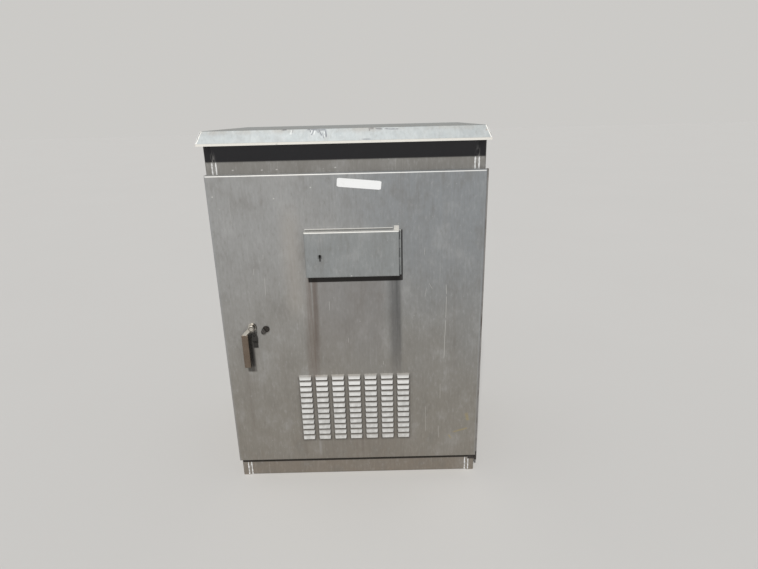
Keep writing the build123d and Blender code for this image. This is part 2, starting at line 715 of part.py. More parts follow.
def padlock_eye():
    """Strap folded out from the door, with a round drilled end beside the grip."""
    middle = EYE_SHEET / 2
    foot = EYE_FOOT_Z - 3 * EYE_R
    section = folded([
        (DOOR_FACE - middle, foot), (DOOR_FACE - middle, EYE_FOOT_Z),
        (DOOR_FACE - EYE_STANDOUT, EYE_FOOT_Z + EYE_STANDOUT / 2), (DOOR_FACE - EYE_STANDOUT, EYE_Z),
    ], EYE_SHEET, EYE_SHEET)
    strap = Pos(EYE_X, 0, 0) * across(section, EYE_R)
    tab_y = (DOOR_FACE - EYE_STANDOUT - middle, DOOR_FACE - EYE_STANDOUT + middle)
    hole = round_y(EYE_X, (tab_y[0] - 1, tab_y[1] + 1), EYE_Z, EYE_HOLE_R)
    return strap + round_y(EYE_X, tab_y, EYE_Z, EYE_R) - hole


def cam_pin(angle):
    """Place of a drive pin round the shaft."""
    return (
        HANDLE_X + CAM_PIN_RADIUS * cos(radians(angle)),
        HANDLE_Z + CAM_PIN_RADIUS * sin(radians(angle)),
    )


def latch_cam():
    """Hub, two drive arms with their pins, and the nose that catches behind the frame."""
    nose = HANDLE_X + BETWEEN - FRAME_LIP + CAM_NOSE_OVERLAP - CAM_NOSE_R
    half = HANDLE_TURN / 2
    outline = arm(nose, 180, CAM_NOSE_R, CAM_HUB_R)
    outline += arm(CAM_PIN_RADIUS, 180 - half, CAM_ARM_R, CAM_HUB_R)
    outline += arm(CAM_PIN_RADIUS, -half, CAM_ARM_R, CAM_HUB_R)
    cam = plate(Pos(HANDLE_X, HANDLE_Z) * outline, (CAM_FRONT, CAM_BACK))
    cam -= round_y(HANDLE_X, (CAM_FRONT - 1, CAM_BACK + 1), HANDLE_Z, SHAFT_R + SHAFT_FIT)
    for angle in (180 - half, -half):
        x, z = cam_pin(angle)
        cam += round_y(x, (CAM_FRONT, YOKE_BACK), z, CAM_PIN_R)
    return cam


def latch_rod(side):
    """Yoke, flat bar on edge and roller axle; side is 1 for the upper rod and -1 for the lower."""
    x = HANDLE_X - side * YOKE_SHIFT
    yoke_z = HANDLE_Z + side * CAM_STEP
    lead = pin_lead(CAM_PIN_RADIUS, HANDLE_TURN)
    slot = (2 * CAM_PIN_R + YOKE_SWAY + 2 * YOKE_SLACK, 2 * CAM_PIN_R + lead + 2 * YOKE_SLACK)
    end_z = roller_z(side)
    bar_start = yoke_z + side * (slot[1] / 2 + YOKE_RIM + CAM_HUB_R)
    yoke_z_span = sorted((yoke_z - side * (slot[1] / 2 + YOKE_RIM), bar_start + side * CAM_ARM_R))
    half = slot[0] / 2 + YOKE_RIM
    yoke = block((x - half, x + half), (YOKE_FRONT, YOKE_BACK), yoke_z_span)
    hole = Pos(x, (YOKE_FRONT + YOKE_BACK) / 2, yoke_z) * Box(slot[0], 2 * YOKE_SHEET, slot[1])
    bar_span = sorted((bar_start, end_z + side * ROLLER_R / 2))
    bar = block(
        (x - ROD_THICK / 2, x + ROD_THICK / 2), (ROD_Y - ROD_DEEP / 2, ROD_Y + ROD_DEEP / 2), bar_span
    )
    axle_end = x + ROD_THICK / 2 + 2 * RUN + ROLLER_WIDTH
    axle = round_x((x, axle_end), ROD_Y, end_z, AXLE_R)
    head = round_x((axle_end, axle_end + AXLE_HEAD), ROD_Y, end_z, 2 * AXLE_R)
    return yoke - hole + bar + axle + head


def pin_lead(radius, swing):
    """How far a crank pin leads and trails a slide that moves evenly with it, both ways in all."""
    half = radians(swing / 2)
    rate = sin(half) / half
    turn = atan(sqrt(1 - rate ** 2) / rate)
    return 2 * radius * (sin(turn) - rate * turn)


def roller_z(side):
    """Height of a roller, behind the upper or lower lip of the frame."""
    inset = SHEET + ROLLER_R + FRAME_LIP / 6
    return FRAME_TOP - inset if side > 0 else FRAME_BOTTOM + inset


def roller(side):
    x = HANDLE_X - side * YOKE_SHIFT + ROD_THICK / 2 + RUN
    wheel = round_x((x, x + ROLLER_WIDTH), ROD_Y, roller_z(side), ROLLER_R)
    wheel = chamfer(wheel.edges(), EDGE_BREAK)
    return wheel - round_x((x - 1, x + ROLLER_WIDTH + 1), ROD_Y, roller_z(side), AXLE_R + SHAFT_FIT)


def rod_guide(side, z):
    """Nylon block on the door's skin, slotted for the rod."""
    x = HANDLE_X - side * YOKE_SHIFT
    half = ROD_THICK / 2 + RUN + GUIDE_WALL
    back = ROD_Y + ROD_DEEP / 2 + RUN
    body = block((x - half, x + half), (DOOR_SKIN, back + GUIDE_WALL), (z, z + GUIDE_HEIGHT))
    body = fillet(body.edges().filter_by(Axis.Z).group_by(Axis.Y)[-1], GUIDE_WALL / 2)
    slot = block(
        (x - ROD_THICK / 2 - RUN, x + ROD_THICK / 2 + RUN), (back - ROD_DEEP - 2 * RUN, back),
        (z - 1, z + GUIDE_HEIGHT + 1),
    )
    return body - slot


# Key lock

def drive_radius():
    """Radius of the plug's drive pin, which turns a quarter turn for the bolt's throw."""
    return BOLT_THROW / (2 * sin(radians(KEY_TURN / 2)))


def plug_end():
    """Inner end of the key plug."""
    return CAM_FRONT - RUN / 2 - RUN


def lock_body():
    """Barrel through the door and the case behind it that guides the bolt."""
    barrel = round_y(LOCK_X, (DOOR_FACE - LOCK_PROUD, CAM_FRONT - CASE_WALL / 2), LOCK_Z, LOCK_R)
    barrel = chamfer(barrel.faces().sort_by(Axis.Y)[0].edges(), EDGE_BREAK)
    ear = round_y(RIVET_X, (DOOR_FACE - LOCK_PROUD, DOOR_FACE), RIVET_Z, 2 * RIVET_R)
    head_back = cover_front() - RUN
    rivet = round_y(RIVET_X, (head_back - COVER_SHEET, DOOR_FACE), RIVET_Z, RIVET_R)
    rivet_head = round_y(RIVET_X, (head_back - COVER_SHEET, head_back), RIVET_Z, 2 * RIVET_R)
    x = (LOCK_X - LOCK_R + FIT, LOCK_X - LOCK_R + FIT + CASE_WIDTH)
    z = (LOCK_Z - CASE_HEIGHT / 2, LOCK_Z + CASE_HEIGHT / 2)
    case = block(x, (DOOR_SKIN, CAM_BACK), z)
    channel = (bolt_z()[0] - RUN, bolt_z()[1] + RUN)
    pocket = block((x[0] - 1, x[1] - CASE_WALL), (CAM_FRONT - RUN / 2, CAM_BACK + 1), channel)
    tail_room = (tail_x()[0] - RUN - BOLT_THROW, tail_x()[1] + RUN)
    tail = block(tail_room, (CAM_FRONT - RUN / 2, CAM_BACK + 1), tail_z(RUN))
    bore = round_y(LOCK_X, (DOOR_FACE - 2 * LOCK_PROUD, CAM_BACK), LOCK_Z, PLUG_R + SHAFT_FIT)
    crank_front = plug_end() - CRANK_SHEET - RUN
    swing = round_y(LOCK_X, (crank_front, CAM_BACK + 1), LOCK_Z, drive_radius() + DRIVE_PIN_R + 2 * RUN)
    return case + barrel + ear + rivet + rivet_head - pocket - tail - bore - swing


def bolt_z():
    return (LOCK_Z - BOLT_HEIGHT / 2, LOCK_Z + BOLT_HEIGHT / 2)


def tail_x():
    """Span of the bolt's slotted tail, round the drive pin at rest."""
    middle = LOCK_X + BOLT_THROW / 2
    half = DRIVE_PIN_R + BOLT_TAIL_WALL
    return (middle - half, middle + half)


def tail_z(gap):
    high = LOCK_Z + drive_radius() + DRIVE_PIN_R + BOLT_TAIL_WALL
    return (LOCK_Z - BOLT_HEIGHT / 2 - gap, high + gap)


def lock_bolt():
    """Sliding bolt with a slotted tail that the plug's pin drives."""
    y = (CAM_FRONT + RUN / 2, CAM_FRONT + RUN / 2 + BOLT_THICK)
    nose = LOCK_X - LOCK_R + FIT
    bar = block((nose, tail_x()[1]), y, bolt_z())
    tail = block(tail_x(), y, tail_z(0))
    lowest = LOCK_Z + drive_radius() * cos(radians(KEY_TURN / 2))
    slot_z = (lowest - DRIVE_PIN_R - RUN, LOCK_Z + drive_radius() + DRIVE_PIN_R + RUN)
    half = DRIVE_PIN_R + pin_lead(drive_radius(), KEY_TURN) / 2 + RUN
    middle = LOCK_X + BOLT_THROW / 2
    return bar + tail - block((middle - half, middle + half), (y[0] - 1, y[1] + 1), slot_z)


def lock_plug():
    """Key plug with its slot, and the drive pin on its inner end."""
    inner = plug_end()
    plug = round_y(LOCK_X, (DOOR_FACE - LOCK_PROUD, inner), LOCK_Z, PLUG_R)
    key = Pos(LOCK_X, DOOR_FACE - LOCK_PROUD, LOCK_Z) * Box(KEY_SLOT_W, 4 * LOCK_PROUD, KEY_SLOT_H)
    at_rest = 90 - KEY_TURN / 2
    outline = arm(drive_radius(), at_rest, DRIVE_PIN_R, DRIVE_PIN_R)
    crank = plate(Pos(LOCK_X, LOCK_Z) * outline, (inner - CRANK_SHEET, inner))
    x = LOCK_X + drive_radius() * cos(radians(at_rest))
    z = LOCK_Z + drive_radius() * sin(radians(at_rest))
    pin = round_y(x, (inner - CRANK_SHEET, CAM_FRONT + RUN / 2 + BOLT_THICK), z, DRIVE_PIN_R)
    return plug - key + crank + pin


def dust_cover():
    """Round cover that hangs from a rivet on the lock and swings up over the keyhole."""
    lobe = Pos(0, -COVER_DROP) * Circle(COVER_R)
    outline = make_hull((Circle(2 * RIVET_R) + lobe).edges()) - Circle(RIVET_R + SHAFT_FIT)
    return plate(Pos(RIVET_X, RIVET_Z) * outline, (cover_front(), cover_front() + COVER_SHEET))


def cover_front():
    """Front face of the dust cover."""
    return DOOR_FACE - LOCK_PROUD - RUN - COVER_SHEET


# Police door

def box_span(shrink):
    """X and Z spans of the police compartment's outside, made smaller by shrink."""
    x = (POLICE_LEFT + BOX_INSET + shrink, POLICE_RIGHT - BOX_INSET - shrink)
    z = (POLICE_BOTTOM + BOX_INSET + shrink, POLICE_TOP - BOX_INSET - shrink)
    return x, z


def police_box():
    """Folded compartment whose front edge stands proud as a collar, with a flange behind the skin."""
    x, z = box_span(0)
    inner_x, inner_z = box_span(LIGHT_SHEET)
    front = DOOR_FACE - BOX_PROUD
    back = DOOR_FACE + BOX_REAR
    wide_x, wide_z = box_span(-BOX_FLANGE)
    shell = block(x, (front, back), z) + block(wide_x, (DOOR_SKIN, DOOR_SKIN + LIGHT_SHEET), wide_z)
    shell -= block(inner_x, (front - 1, back - LIGHT_SHEET), inner_z)
    slot_y = (police_cam_y()[0] - POLICE_CAM_ROOM, police_cam_y()[1] + POLICE_CAM_ROOM)
    slot_z = (POLICE_LOCK_Z - POLICE_CAM_SWEEP, POLICE_LOCK_Z + POLICE_CAM_TIP_R + POLICE_CAM_ROOM)
    return shell - block((x[0] - 1, inner_x[0] + 1), slot_y, slot_z)


def police_hinge_y():
    return DOOR_FACE - POLICE_KNUCKLE_R - RUN


def police_hinge_x():
    return POLICE_RIGHT + POLICE_KNUCKLE_R + LIGHT_SHEET


def police_hinge_leaf():
    """Fixed leaf on the main door, longer than the police door, with its barrels."""
    span = (POLICE_BOTTOM, POLICE_TOP)
    y = (DOOR_FACE - POLICE_LEAF - RUN, DOOR_FACE)
    reach = (POLICE_BOTTOM - POLICE_LEAF_UNDER, POLICE_TOP + POLICE_LEAF_OVER)
    flat = block((POLICE_LEAF_LEFT, POLICE_RIGHT + 1), y, reach)
    strips = leaf_strips(
        (POLICE_RIGHT, police_hinge_x()), (DOOR_FACE - POLICE_LEAF - RUN, DOOR_FACE - RUN), span,
        POLICE_KNUCKLES, 0,
    )
    barrels = knuckles(
        police_hinge_x(), police_hinge_y(), span, POLICE_KNUCKLES, POLICE_KNUCKLE_R,
        POLICE_PIN_R + SHAFT_FIT, 0,
    )
    return flat + strips + barrels


def police_hinge_pin():
    return round_z(police_hinge_x(), police_hinge_y(), (POLICE_BOTTOM, POLICE_TOP), POLICE_PIN_R)


def keyhole():
    """Teardrop outline, wide at the top."""
    foot = Pos(0, -KEYHOLE_DROP) * Circle(KEYHOLE_FOOT_R)
    return make_hull((Circle(KEYHOLE_TOP_R) + foot).edges())


def police_door():
    """Shallow folded pan with a keyhole; its own edge is rolled into the moving barrels."""
    front = DOOR_FACE - POLICE_PROUD
    back = DOOR_FACE - POLICE_BACK_GAP
    pan = block((POLICE_LEFT, POLICE_RIGHT), (front, back), (POLICE_BOTTOM, POLICE_TOP))
    pan = fillet(pan.faces().sort_by(Axis.Y)[0].edges(), POLICE_BEND + LIGHT_SHEET)
    hollow = block(
        (POLICE_LEFT + LIGHT_SHEET, POLICE_RIGHT - LIGHT_SHEET), (front + LIGHT_SHEET, back + 1),
        (POLICE_BOTTOM + LIGHT_SHEET, POLICE_TOP - LIGHT_SHEET),
    )
    hollow = fillet(hollow.faces().sort_by(Axis.Y)[0].edges(), POLICE_BEND)
    span = (POLICE_BOTTOM, POLICE_TOP)
    outer_face = police_hinge_y() - POLICE_KNUCKLE_R
    strips = leaf_strips(
        (POLICE_RIGHT - LIGHT_SHEET, police_hinge_x()), (outer_face, outer_face + POLICE_LEAF), span,
        POLICE_KNUCKLES, 1,
    )
    barrels = knuckles(
        police_hinge_x(), police_hinge_y(), span, POLICE_KNUCKLES, POLICE_KNUCKLE_R,
        POLICE_PIN_R + SHAFT_FIT, 1,
    )
    hole = plate(Pos(POLICE_LOCK_X, POLICE_LOCK_Z + KEYHOLE_DROP / 2) * keyhole(), (front - 1, front + 5))
    return pan - hollow + strips + barrels - hole


def police_gasket():
    x, z = box_span(-POLICE_GASKET_WIDTH / 2)
    hole_x, hole_z = box_span(POLICE_GASKET_WIDTH / 2)
    y = (DOOR_FACE - POLICE_PROUD + LIGHT_SHEET, DOOR_FACE - BOX_PROUD - RUN)
    return block(x, y, z) - block(hole_x, (y[0] - 1, y[1] + 1), hole_z)


def police_cam_y():
    """Front and back faces of the police lock's cam."""
    back = DOOR_FACE - BOX_PROUD + POLICE_CAM_BACK
    return (back - POLICE_CAM, back)


def police_lock_plug():
    """Stepped barrel that rests on the back of the police door's face."""
    front = DOOR_FACE - POLICE_PROUD + LIGHT_SHEET
    cam_y = police_cam_y()
    barrel = round_y(POLICE_LOCK_X, (front, cam_y[0]), POLICE_LOCK_Z, POLICE_BARREL_R)
    stud = round_y(POLICE_LOCK_X, (front, cam_y[1] + POLICE_CAM), POLICE_LOCK_Z, POLICE_STUD_R)
    outline = Pos(POLICE_LOCK_X, POLICE_LOCK_Z + KEYHOLE_DROP / 2) * keyhole()
    key = plate(outline, (front - 1, cam_y[0] - 2 * POLICE_CAM))
    return barrel + stud - key


def police_lock_cam():
    """Flat cam that passes through the slot in the compartment's left wall."""
    x, z = box_span(0)
    length = POLICE_LOCK_X - x[0] + POLICE_CAM_CATCH - POLICE_CAM_TIP_R
    outline = arm(length, 180, POLICE_CAM_TIP_R, POLICE_BARREL_R) - Circle(POLICE_STUD_R + SHAFT_FIT)
    return plate(Pos(POLICE_LOCK_X, POLICE_LOCK_Z) * outline, police_cam_y())


def drip_strip():
    """Small angle-fronted strip that sheds water above the police door."""
    section = make_face(Polyline(
        (DOOR_FACE, DRIP_BOTTOM), (DOOR_FACE - DRIP_DEPTH, DRIP_BOTTOM),
        (DOOR_FACE - DRIP_DEPTH, DRIP_BOTTOM + DRIP_HEIGHT / 3), (DOOR_FACE, DRIP_BOTTOM + DRIP_HEIGHT),
        close=True,
    ))
    return Pos(DRIP_LEFT, 0, 0) * extrude(Plane.YZ * section, amount=DRIP_RIGHT - DRIP_LEFT)


# Switches

def switch_panel():
    """Plate across the compartment, with a hole for each switch and turned-back ends."""
    x, z = box_span(LIGHT_SHEET + FIT)
    y = DOOR_FACE + PANEL_DEPTH
    face = block(x, (y, y + LIGHT_SHEET), z)
    ends = [
        block(span, (y, DOOR_FACE + BOX_REAR - LIGHT_SHEET - FIT), z)
        for span in ((x[0], x[0] + LIGHT_SHEET), (x[1] - LIGHT_SHEET, x[1]))
    ]
    holes = [
        round_y(place, (y - 1, y + LIGHT_SHEET + 1), TOGGLE_Z, BUSHING_R + FIT) for place in TOGGLE_X
    ]
    return face + ends - holes


def toggle_body(x):
    """Bushing through the panel, its nut, and the switch's case behind."""
    panel = DOOR_FACE + PANEL_DEPTH
    back = panel + LIGHT_SHEET
    bushing = round_y(x, (panel - BUSHING_LENGTH, back + 1), TOGGLE_Z, BUSHING_R)
    nut = plate(Pos(x, TOGGLE_Z) * RegularPolygon(SWITCH_NUT_R, 6), (panel - SWITCH_NUT, panel))
    width, depth, height = TOGGLE_BODY
    case = Pos(x, back + depth / 2, TOGGLE_Z) * Box(width, depth, height)
    pivot = toggle_pivot_y()
    bore = round_y(x, (panel - BUSHING_LENGTH - 1, pivot + LEVER_BALL_R + RUN), TOGGLE_Z, BUSHING_BORE_R)
    return bushing + nut + case - bore


def toggle_pivot_y():
    return DOOR_FACE + PANEL_DEPTH - BUSHING_LENGTH + LEVER_SETBACK


def toggle_lever(x):
    """Tapered lever with a ball at its pivot and a bevelled tip, tilted down."""
    bevel = LEVER_TIP_R / 2
    profile = make_face(Polyline(
        (0, 0), (LEVER_R, 0), (LEVER_TIP_R, LEVER_LENGTH), (LEVER_TIP_R, LEVER_LENGTH + bevel),
        (LEVER_TIP_R - bevel, LEVER_LENGTH + LEVER_TIP_R), (0, LEVER_LENGTH + LEVER_TIP_R), close=True,
    ))
    lever = revolve(Plane.XZ * profile, Axis.Z) + Sphere(LEVER_BALL_R)
    return Pos(x, toggle_pivot_y(), TOGGLE_Z) * Rot(90 + LEVER_TILT, 0, 0) * lever


# Filter

def filter_trough():
    """Folded frame on the door's skin that the filter drops into from above."""
    half = FILTER_WIDTH / 2 + RUN
    back = DOOR_SKIN + FILTER_DEPTH + RUN
    low = FILTER_BOTTOM
    high = FILTER_BOTTOM + FILTER_HEIGHT
    wide = half + TROUGH_SHEET
    outer = block((-wide, wide), (DOOR_SKIN, back + TROUGH_SHEET), (low - TROUGH_SHEET, high))
    pocket = block((-half, half), (DOOR_SKIN - 1, back), (low, high + 1))
    narrow = half - TROUGH_LIP
    window = block((-narrow, narrow), (DOOR_SKIN, back + 2 * TROUGH_SHEET), (low + TROUGH_LIP, high + 1))
    return outer - pocket - window


def air_filter():
    """Card frame with a pleated sheet."""
    y = (DOOR_SKIN + RUN, DOOR_SKIN + FILTER_DEPTH)
    low = FILTER_BOTTOM + FIT
    card = ring(FILTER_WIDTH / 2, (low, FILTER_BOTTOM + FILTER_HEIGHT), y, CARD)
    width = FILTER_WIDTH - CARD
    step = width / PLEATS
    near = y[0] + PLEAT_PAPER
    far = y[1] - PLEAT_PAPER
    points = [(-width / 2, near)]
    for i in range(PLEATS):
        points.append((-width / 2 + (i + 0.5) * step, far))
        points.append((-width / 2 + (i + 1) * step, near))
    zigzag = Pos(0, 0, low + CARD / 2) * trace(Polyline(*points), PLEAT_PAPER)
    return card + extrude(zigzag, amount=FILTER_HEIGHT - CARD)


# Fan deck and fan

def fan_deck():
    """Tray under the roof with turned-down edges and the fan's hole."""
    half_x = HALF_W - SHEET - FIT
    y = (FRONT + SHEET + FIT, REAR - SHEET - FIT)
    tray = block((-half_x, half_x), y, (DECK_Z - DECK_FLANGE, DECK_Z))
    tray = fillet(tray.edges().filter_by(Axis.Z), BEND + FIT)
    hollow = block(
        (LIGHT_SHEET - half_x, half_x - LIGHT_SHEET), (y[0] + LIGHT_SHEET, y[1] - LIGHT_SHEET),
        (DECK_Z - DECK_FLANGE - 1, DECK_UNDER),
    )
    hole = round_z(0, FAN_Y, (DECK_UNDER - 1, DECK_Z + 1), FAN_R - FAN_WALL)
    return tray - hollow - hole


def fan_frame():
    """Venturi ring with a square flange, spokes and the motor's seat."""
    low = DECK_UNDER - FAN_DEPTH
    inner = FAN_R - FAN_WALL
    wall = make_face(Polyline(
        (inner, low + FAN_WALL), (inner + FAN_WALL / 2, low), (FAN_R, low), (FAN_R, DECK_UNDER),
        (inner + FAN_WALL / 4, DECK_UNDER), (inner, DECK_UNDER - FAN_WALL), close=True,
    ))
    tube = Pos(0, FAN_Y, 0) * revolve(Plane.XZ * wall, Axis.Z)
    side = 2 * (FAN_R + FAN_FLANGE)
    flange = Pos(0, FAN_Y, DECK_UNDER - FAN_WALL / 2) * Box(side, side, FAN_WALL)
    flange = fillet(flange.edges().filter_by(Axis.Z), 2 * FAN_FLANGE)
    flange -= round_z(0, FAN_Y, (low, DECK_UNDER + 1), FAN_R - FAN_WALL / 2)
    motor = round_z(0, FAN_Y, (low, low + FAN_WALL), FAN_HUB_R)
    shaft = round_z(0, FAN_Y, (low, DECK_UNDER - 2 * FAN_WALL), FAN_SHAFT_R)
    spokes = [
        Pos(0, FAN_Y, low + FAN_WALL / 2) * Rot(0, 0, 45 + i * 360 / SPOKES)
        * Pos((inner + FAN_HUB_R) / 2, 0, 0) * Box(inner - FAN_HUB_R + FAN_WALL, SPOKE, FAN_WALL)
        for i in range(SPOKES)
    ]
    return tube + flange + motor + shaft + spokes


def fan_rotor():
    """Hub cup with twisted blades."""
    low = DECK_UNDER - FAN_DEPTH + FAN_WALL + FAN_END_GAP
    high = DECK_UNDER - 2 * FAN_WALL
    middle = (low + high) / 2
    hub = fillet(Cylinder(FAN_HUB_R, high - low).faces().sort_by(Axis.Z)[-1].edges(), FAN_HUB_ROUND)
    tip = FAN_R - FAN_WALL - FAN_TIP_GAP
    root = FAN_HUB_R - BLADE
    blade = loft([
        Plane((root, 0, 0), x_dir=(0, 1, 0), z_dir=(1, 0, 0)) * Rot(0, 0, BLADE_ROOT_TILT)
        * Rectangle(BLADE_ROOT_CHORD, BLADE),
        Plane((tip, 0, 0), x_dir=(0, 1, 0), z_dir=(1, 0, 0)) * Rot(0, 0, BLADE_TIP_TILT)
        * Rectangle(BLADE_CHORD, BLADE),
    ])
    blades = [Rot(0, 0, i * 360 / FAN_BLADES) * blade for i in range(FAN_BLADES)]
    bore = Cylinder(FAN_SHAFT_R + SHAFT_FIT, 2 * FAN_DEPTH)
    return Pos(0, FAN_Y, middle) * (hub + blades - bore)


def fan_guard():
    """Flat finger guard under the fan: rings on two crossed bars."""
    z = DECK_UNDER - FAN_DEPTH - GUARD_SHEET
    half = GUARD_WIRE_WIDTH / 2
    radii = [GUARD_PITCH * (i + 1.5) for i in range(GUARD_RINGS)]
    rings = [Circle(radius + half) - Circle(radius - half) for radius in radii]
    bar = Rectangle(2 * FAN_R, GUARD_WIRE_WIDTH)
    outline = Rot(0, 0, 45) * bar + [Rot(0, 0, -45) * bar] + rings
    return extrude(Pos(0, FAN_Y, z) * outline, amount=GUARD_SHEET)


def fan_control():
    """Temperature control for the fan: a small box under the deck with a dial."""
    width, depth, height = CONTROL_BOX
    box = Pos(CONTROL_X, FAN_Y, DECK_UNDER - height / 2) * Box(width, depth, height)
    box = fillet(box.edges().filter_by(Axis.Z), CONTROL_ROUND)
    front = FAN_Y - depth / 2
    dial = round_y(CONTROL_X, (front - CONTROL_DIAL, front), DECK_UNDER - height / 2, CONTROL_DIAL_R)
    dial = chamfer(dial.faces().sort_by(Axis.Y)[0].edges(), 2 * EDGE_BREAK)
    return box + dial


# Rails, shelves, back board and ground bar

def rail(side, y):
    """Lipped channel on a side wall, open to the inside."""
    middle = RAIL_SHEET / 2
    wall = HALF_W - SHEET - middle
    face = RAIL_FACE + middle
    points = [
        (side * (face + RAIL_LIP), y - RAIL_MOUTH / 2 - middle), (side * face, y - RAIL_MOUTH / 2 - middle),
        (side * face, y - RAIL / 2 + middle), (side * wall, y - RAIL / 2 + middle),
        (side * wall, y + RAIL / 2 - middle), (side * face, y + RAIL / 2 - middle),
        (side * face, y + RAIL_MOUTH / 2 + middle), (side * (face + RAIL_LIP), y + RAIL_MOUTH / 2 + middle),
    ]
    section = Pos(0, 0, RAIL_BOTTOM) * folded(points, RAIL_SHEET, RAIL_BEND)
    return extrude(section, amount=RAIL_TOP - RAIL_BOTTOM)


def shelf(z):
    """Slotted tray with turned-down edges, bolted to the rails at its ends."""
    half = RAIL_FACE - FIT
    outer = block((-half, half), (SHELF_FRONT, SHELF_REAR), (z - SHELF_FLANGE, z))
    outer = fillet(outer.faces().sort_by(Axis.Z)[-1].edges(), SHELF_BEND + LIGHT_SHEET)
    hollow = block(
        (LIGHT_SHEET - half, half - LIGHT_SHEET), (SHELF_FRONT + LIGHT_SHEET, SHELF_REAR - LIGHT_SHEET),
        (z - SHELF_FLANGE - 1, z - LIGHT_SHEET),
    )
    hollow = fillet(hollow.faces().sort_by(Axis.Z)[-1].edges(), SHELF_BEND)
    pitch = 2 * half / SHELF_SLOTS
    slot = Box(SHELF_SLOT_LENGTH, SHELF_SLOT_WIDTH, 4 * LIGHT_SHEET)
    slots = [
        Pos(-half + (i + 0.5) * pitch, y, z) * slot
        for i in range(SHELF_SLOTS)
        for y in (SHELF_FRONT + SHELF_SLOT_INSET, SHELF_REAR - SHELF_SLOT_INSET)
    ]
    ends = [sorted((side * (half - 2 * LIGHT_SHEET), side * (half + 1))) for side in (-1, 1)]
    holes = [round_x(end, y, bolt_height(z), SHELF_BOLT_R + FIT) for end in ends for y in RAIL_Y]
    return outer - hollow - slots - holes


def bolt_height(z):
    return z - (SHELF_FLANGE + LIGHT_SHEET) / 2


def shelf_bolts():
    """Bolts through the shelves' ends, and the channel nuts that they pull against the rails' lips."""
    pieces = []
    inner = RAIL_FACE - FIT - LIGHT_SHEET
    lip = RAIL_FACE + RAIL_LIP + RAIL_SHEET / 2 + FIT
    thick, long_side, high = CHANNEL_NUT
    for z in SHELF_Z:
        for side in (-1, 1):
            for y in RAIL_Y:
                height = bolt_height(z)
                head = Plane((side * (inner - SHELF_BOLT_HEAD), y, height), z_dir=(side, 0, 0))
                bolt = extrude(head * RegularPolygon(SHELF_BOLT_HEAD_R, 6), amount=SHELF_BOLT_HEAD)
                reach = sorted((side * (inner - 1), side * (lip + thick)))
                pieces.append(bolt + round_x(reach, y, height, SHELF_BOLT_R))
                nut_x = sorted((side * lip, side * (lip + thick)))
                nut = Pos(side * (lip + thick / 2), y, height) * Box(thick, long_side, high)
                bore = round_x((nut_x[0] - 1, nut_x[1] + 1), y, height, SHELF_BOLT_R + SHAFT_FIT)
                pieces.append(nut - bore)
    return pieces


def back_board():
    """Mounting board for terminals, on returns that stand on the back panel."""
    middle = SHEET / 2
    half = BOARD_WIDTH / 2
    foot = REAR - SHEET - FIT
    face = BOARD_Y + middle
    section = folded([(-half, foot), (-half, face), (half, face), (half, foot)], SHEET, BEND)
    return extrude(Pos(0, 0, BOARD_BOTTOM) * section, amount=BOARD_TOP - BOARD_BOTTOM)


def ground_bar():
    """Drilled bar with joggled feet on the back board."""
    middle = BUS_THICK / 2
    half = BUS_LENGTH / 2
    foot = half + BUS_JOGGLE
    section = folded([
        (BUS_X - foot - BUS_FOOT, BOARD_Y - middle), (BUS_X - foot, BOARD_Y - middle),
        (BUS_X - half, BOARD_Y - BUS_STANDOFF - middle), (BUS_X + half, BOARD_Y - BUS_STANDOFF - middle),
        (BUS_X + foot, BOARD_Y - middle), (BUS_X + foot + BUS_FOOT, BOARD_Y - middle),
    ], BUS_THICK, BUS_THICK / 3)
    bar = extrude(Pos(0, 0, BUS_Z) * section, amount=BUS_HEIGHT)
    pitch = (BUS_LENGTH - 2 * BUS_END) / BUS_HOLES
    reach = (BOARD_Y - 2 * BUS_STANDOFF - BUS_THICK, BOARD_Y - 1)
    holes = [
        round_y(BUS_X - half + BUS_END + (i + 0.5) * pitch, reach, BUS_Z + BUS_HEIGHT / 2, BUS_HOLE_R)
        for i in range(BUS_HOLES)
    ]
    return bar - holes


# Door stay

def stay_pivot(setback_y):
    """A pivot at the stay's radius from the hinge axis, at the depth that setback_y gives."""
    across_y = setback_y - HINGE_Y
    return (HINGE_X - sqrt(STAY_RADIUS ** 2 - across_y ** 2), setback_y)


def stay_ends():
    door = stay_pivot(DOOR_FACE + STAY_DOOR_SETBACK)
    frame = stay_pivot(FRONT + STAY_FRAME_SETBACK)
    return door, frame


def stay_reach():
    """Longest distance between the two pivots, with the door wide open."""
    door, frame = stay_ends()
    closed = sqrt((door[0] - frame[0]) ** 2 + (door[1] - frame[1]) ** 2)
    turn = 2 * asin(closed / (2 * STAY_RADIUS)) + radians(DOOR_SWING)
    return 2 * STAY_RADIUS * sin(turn / 2)


def stay_line():
    """Plane at the door pivot whose X runs along the rod."""
    door, frame = stay_ends()
    along = (frame[0] - door[0], frame[1] - door[1], 0)
    return Plane((door[0], door[1], STAY_Z), x_dir=along, z_dir=(0, 0, 1))


def stay_rod():
    """Round rod with an eye at the door's pivot and a knob at its free end."""
    length = stay_reach() + STAY_GUIDE
    eye = Cylinder(STAY_EYE_R, 2 * STAY_ROD_R)
    bar = round_x((STAY_PIN_R + STAY_ROD_R, length), 0, 0, STAY_ROD_R)
    knob = round_x((length, length + STAY_KNOB), 0, 0, STAY_ROD_R + STAY_SHOULDER)
    knob = fillet(knob.edges(), STAY_KNOB / 4)
    bore = Cylinder(STAY_PIN_R + SHAFT_FIT, 4 * STAY_ROD_R)
    return stay_line() * (eye + bar + knob - bore)


